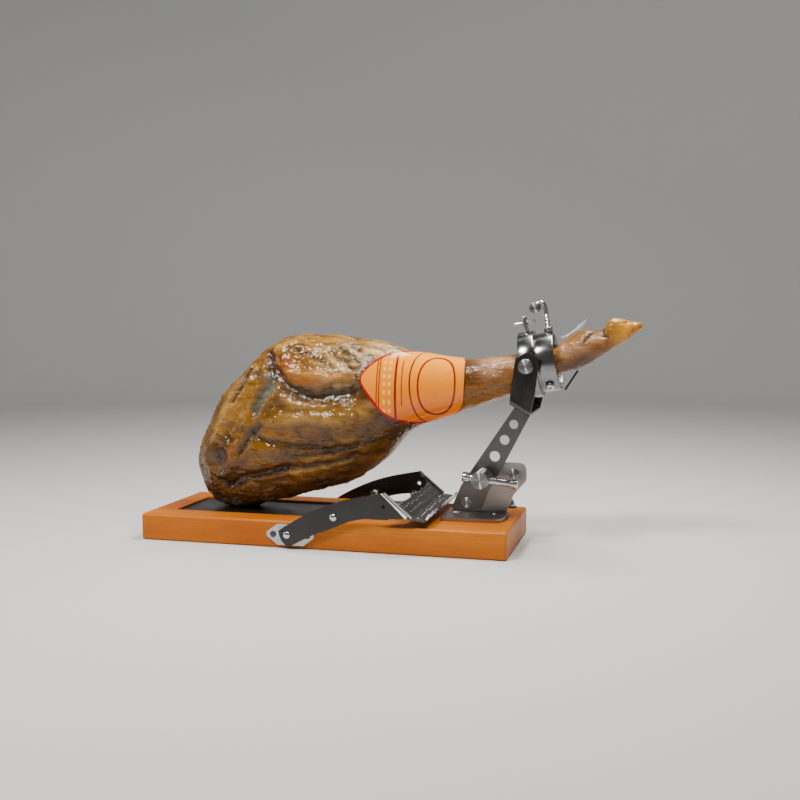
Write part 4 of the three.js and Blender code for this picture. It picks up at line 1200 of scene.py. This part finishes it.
# %% Label mesh
outer_face, label_x, label_girth, side_edge = label_grid(2.3)
inner_face = label_grid(1.2)[0]
end_edge = np.minimum(label_x - label_x.min(), label_x.max() - label_x)
label_rows = np.concatenate([outer_face, inner_face[:, ::-1]], axis=1)
faces = grid_faces(LABEL_ALONG, 2 * LABEL_AROUND)
first = list(range(2 * LABEL_AROUND))
last = [(LABEL_ALONG - 1) * 2 * LABEL_AROUND + j for j in first]
for cap in (first, last):
    for j in range(LABEL_AROUND - 1):
        faces.append((cap[j], cap[j + 1], cap[-2 - j], cap[-1 - j]))
label = new_piece("label_paper", label_rows.reshape(-1, 3), faces)


def label_mark(name, numbers):
    """Stores a number at each point of the outer face, and the same on the inner face."""
    both = np.concatenate([numbers, numbers[:, ::-1]], axis=1)
    mark = label.data.attributes.new(name, "FLOAT", "POINT")
    mark.data.foreach_set("value", both.reshape(-1).astype(np.float32))


edge_reach = np.minimum(side_edge * 0.8, end_edge + 0.25 * side_edge)
label_mark("edge", edge_reach)
label_mark("along", label_x)
label_mark("girth", label_girth)
print("label faces:", len(label.data.polygons))

# %% Label finish


def label_finish():
    paper = Finish("label paper")
    along, girth, edge = [paper.value(name) for name in ("along", "girth", "edge")]

    def under(value, limit):
        return paper.math("LESS_THAN", value, limit)

    def product(first, second):
        return paper.math("MULTIPLY", first, second)

    def line(distance, half_width):
        """1 where the distance is under the half width."""
        return under(paper.math("ABSOLUTE", distance), half_width)

    def either(*masks):
        """1 where any of the masks is."""
        made = masks[0]
        for mask in masks[1:]:
            made = paper.math("MAXIMUM", made, mask)
        return made

    def bowed(middle, bow):
        """Distance from a line across the label that bows to the left at its middle."""
        bent = paper.math("ADD", product(product(girth, girth), bow), middle)
        return paper.math("SUBTRACT", along, bent)

    def inside(value, low, high):
        """1 between the two limits."""
        return product(paper.math("GREATER_THAN", value, low), under(value, high))

    field = paper.blend(paper.span(girth, -70, 60), (0.88, 0.15, 0.0), (1.0, 0.38, 0.0))
    ring_along = paper.math("SUBTRACT", along, 163)
    ring_across = product(paper.math("ADD", girth, 6), 0.62)
    ring_square = paper.math(
        "ADD", paper.math("POWER", ring_along, 2.0), paper.math("POWER", ring_across, 2.0)
    )
    ring_reach = paper.math("SQRT", ring_square)
    lines = either(
        line(bowed(77.5, 0.0), 0.8),
        line(bowed(81, 0.0), 0.8),
        line(bowed(124, 0.0045), 1.2),
        product(inside(girth, -46, 40), line(bowed(104, 0.0), 1.6)),
        product(inside(girth, -30, 30), line(bowed(113, 0.0), 0.7)),
        line(paper.math("SUBTRACT", ring_reach, 27), 1.3),
    )
    border = under(edge, 3.3)
    in_pitch = paper.math("FRACT", paper.math("DIVIDE", girth, 10.0))
    dashes = line(paper.math("SUBTRACT", in_pitch, 0.5), 0.26)
    dots = product(dashes, either(line(bowed(88, 0.0), 2.0), line(bowed(95.5, 0.0), 2.0)))
    dots = product(dots, inside(girth, -38, 40))
    color = paper.blend(product(dots, 0.75), field, (1.0, 0.62, 0.10))
    color = paper.blend(lines, color, (0.24, 0.006, 0.004))
    color = paper.blend(border, color, (0.36, 0.004, 0.010))
    crumple = paper.noise(45, 3)
    paper.set(
        Base_Color=color,
        Roughness=paper.span(crumple, 0.3, 0.7, 0.2, 0.32),
        Normal=paper.bump(crumple, 0.0016),
        Coat_Weight=0.55,
        Coat_Roughness=0.1,
        Specular_IOR_Level=0.05,
    )
    return paper.material


take_over(label, label_finish(), "label")
print("label nodes:", len(label.active_material.node_tree.nodes))

# %% [markdown]
# ## The clear tag
# A scrap of clear film is tied to the hock. It is a strip with two pointed flaps, a little
# curled, and thin enough to see through.

# %% Tag
TAG_ROWS, TAG_COLUMNS = 24, 7
TAG_LOWER = [(340, 305), (350, 308), (361, 314), (371, 320), (376, 332)]
TAG_UPPER = [(341, 308), (351, 312), (360, 319), (367, 326), (376.5, 333)]
lower = smooth_path(TAG_LOWER, TAG_ROWS)
upper = smooth_path(TAG_UPPER, TAG_ROWS)
tag_points = []
for i in range(TAG_ROWS):
    for t in np.linspace(0, 1, TAG_COLUMNS):
        x, z = lower[i] * (1 - t) + upper[i] * t
        curl = 1.5 * math.sin(math.pi * t) * math.sin(math.pi * i / (TAG_ROWS - 1))
        tag_points.append((x, 4.4 - curl, z))
tag = new_piece("tag_film", tag_points, grid_faces(TAG_ROWS, TAG_COLUMNS, closed=False))
thickness = tag.modifiers.new("film", "SOLIDIFY")
thickness.thickness = 0.4 * MM
take_over(tag, clear_film, "foot_tag")
print("taken over in all:", len(stand_ins))
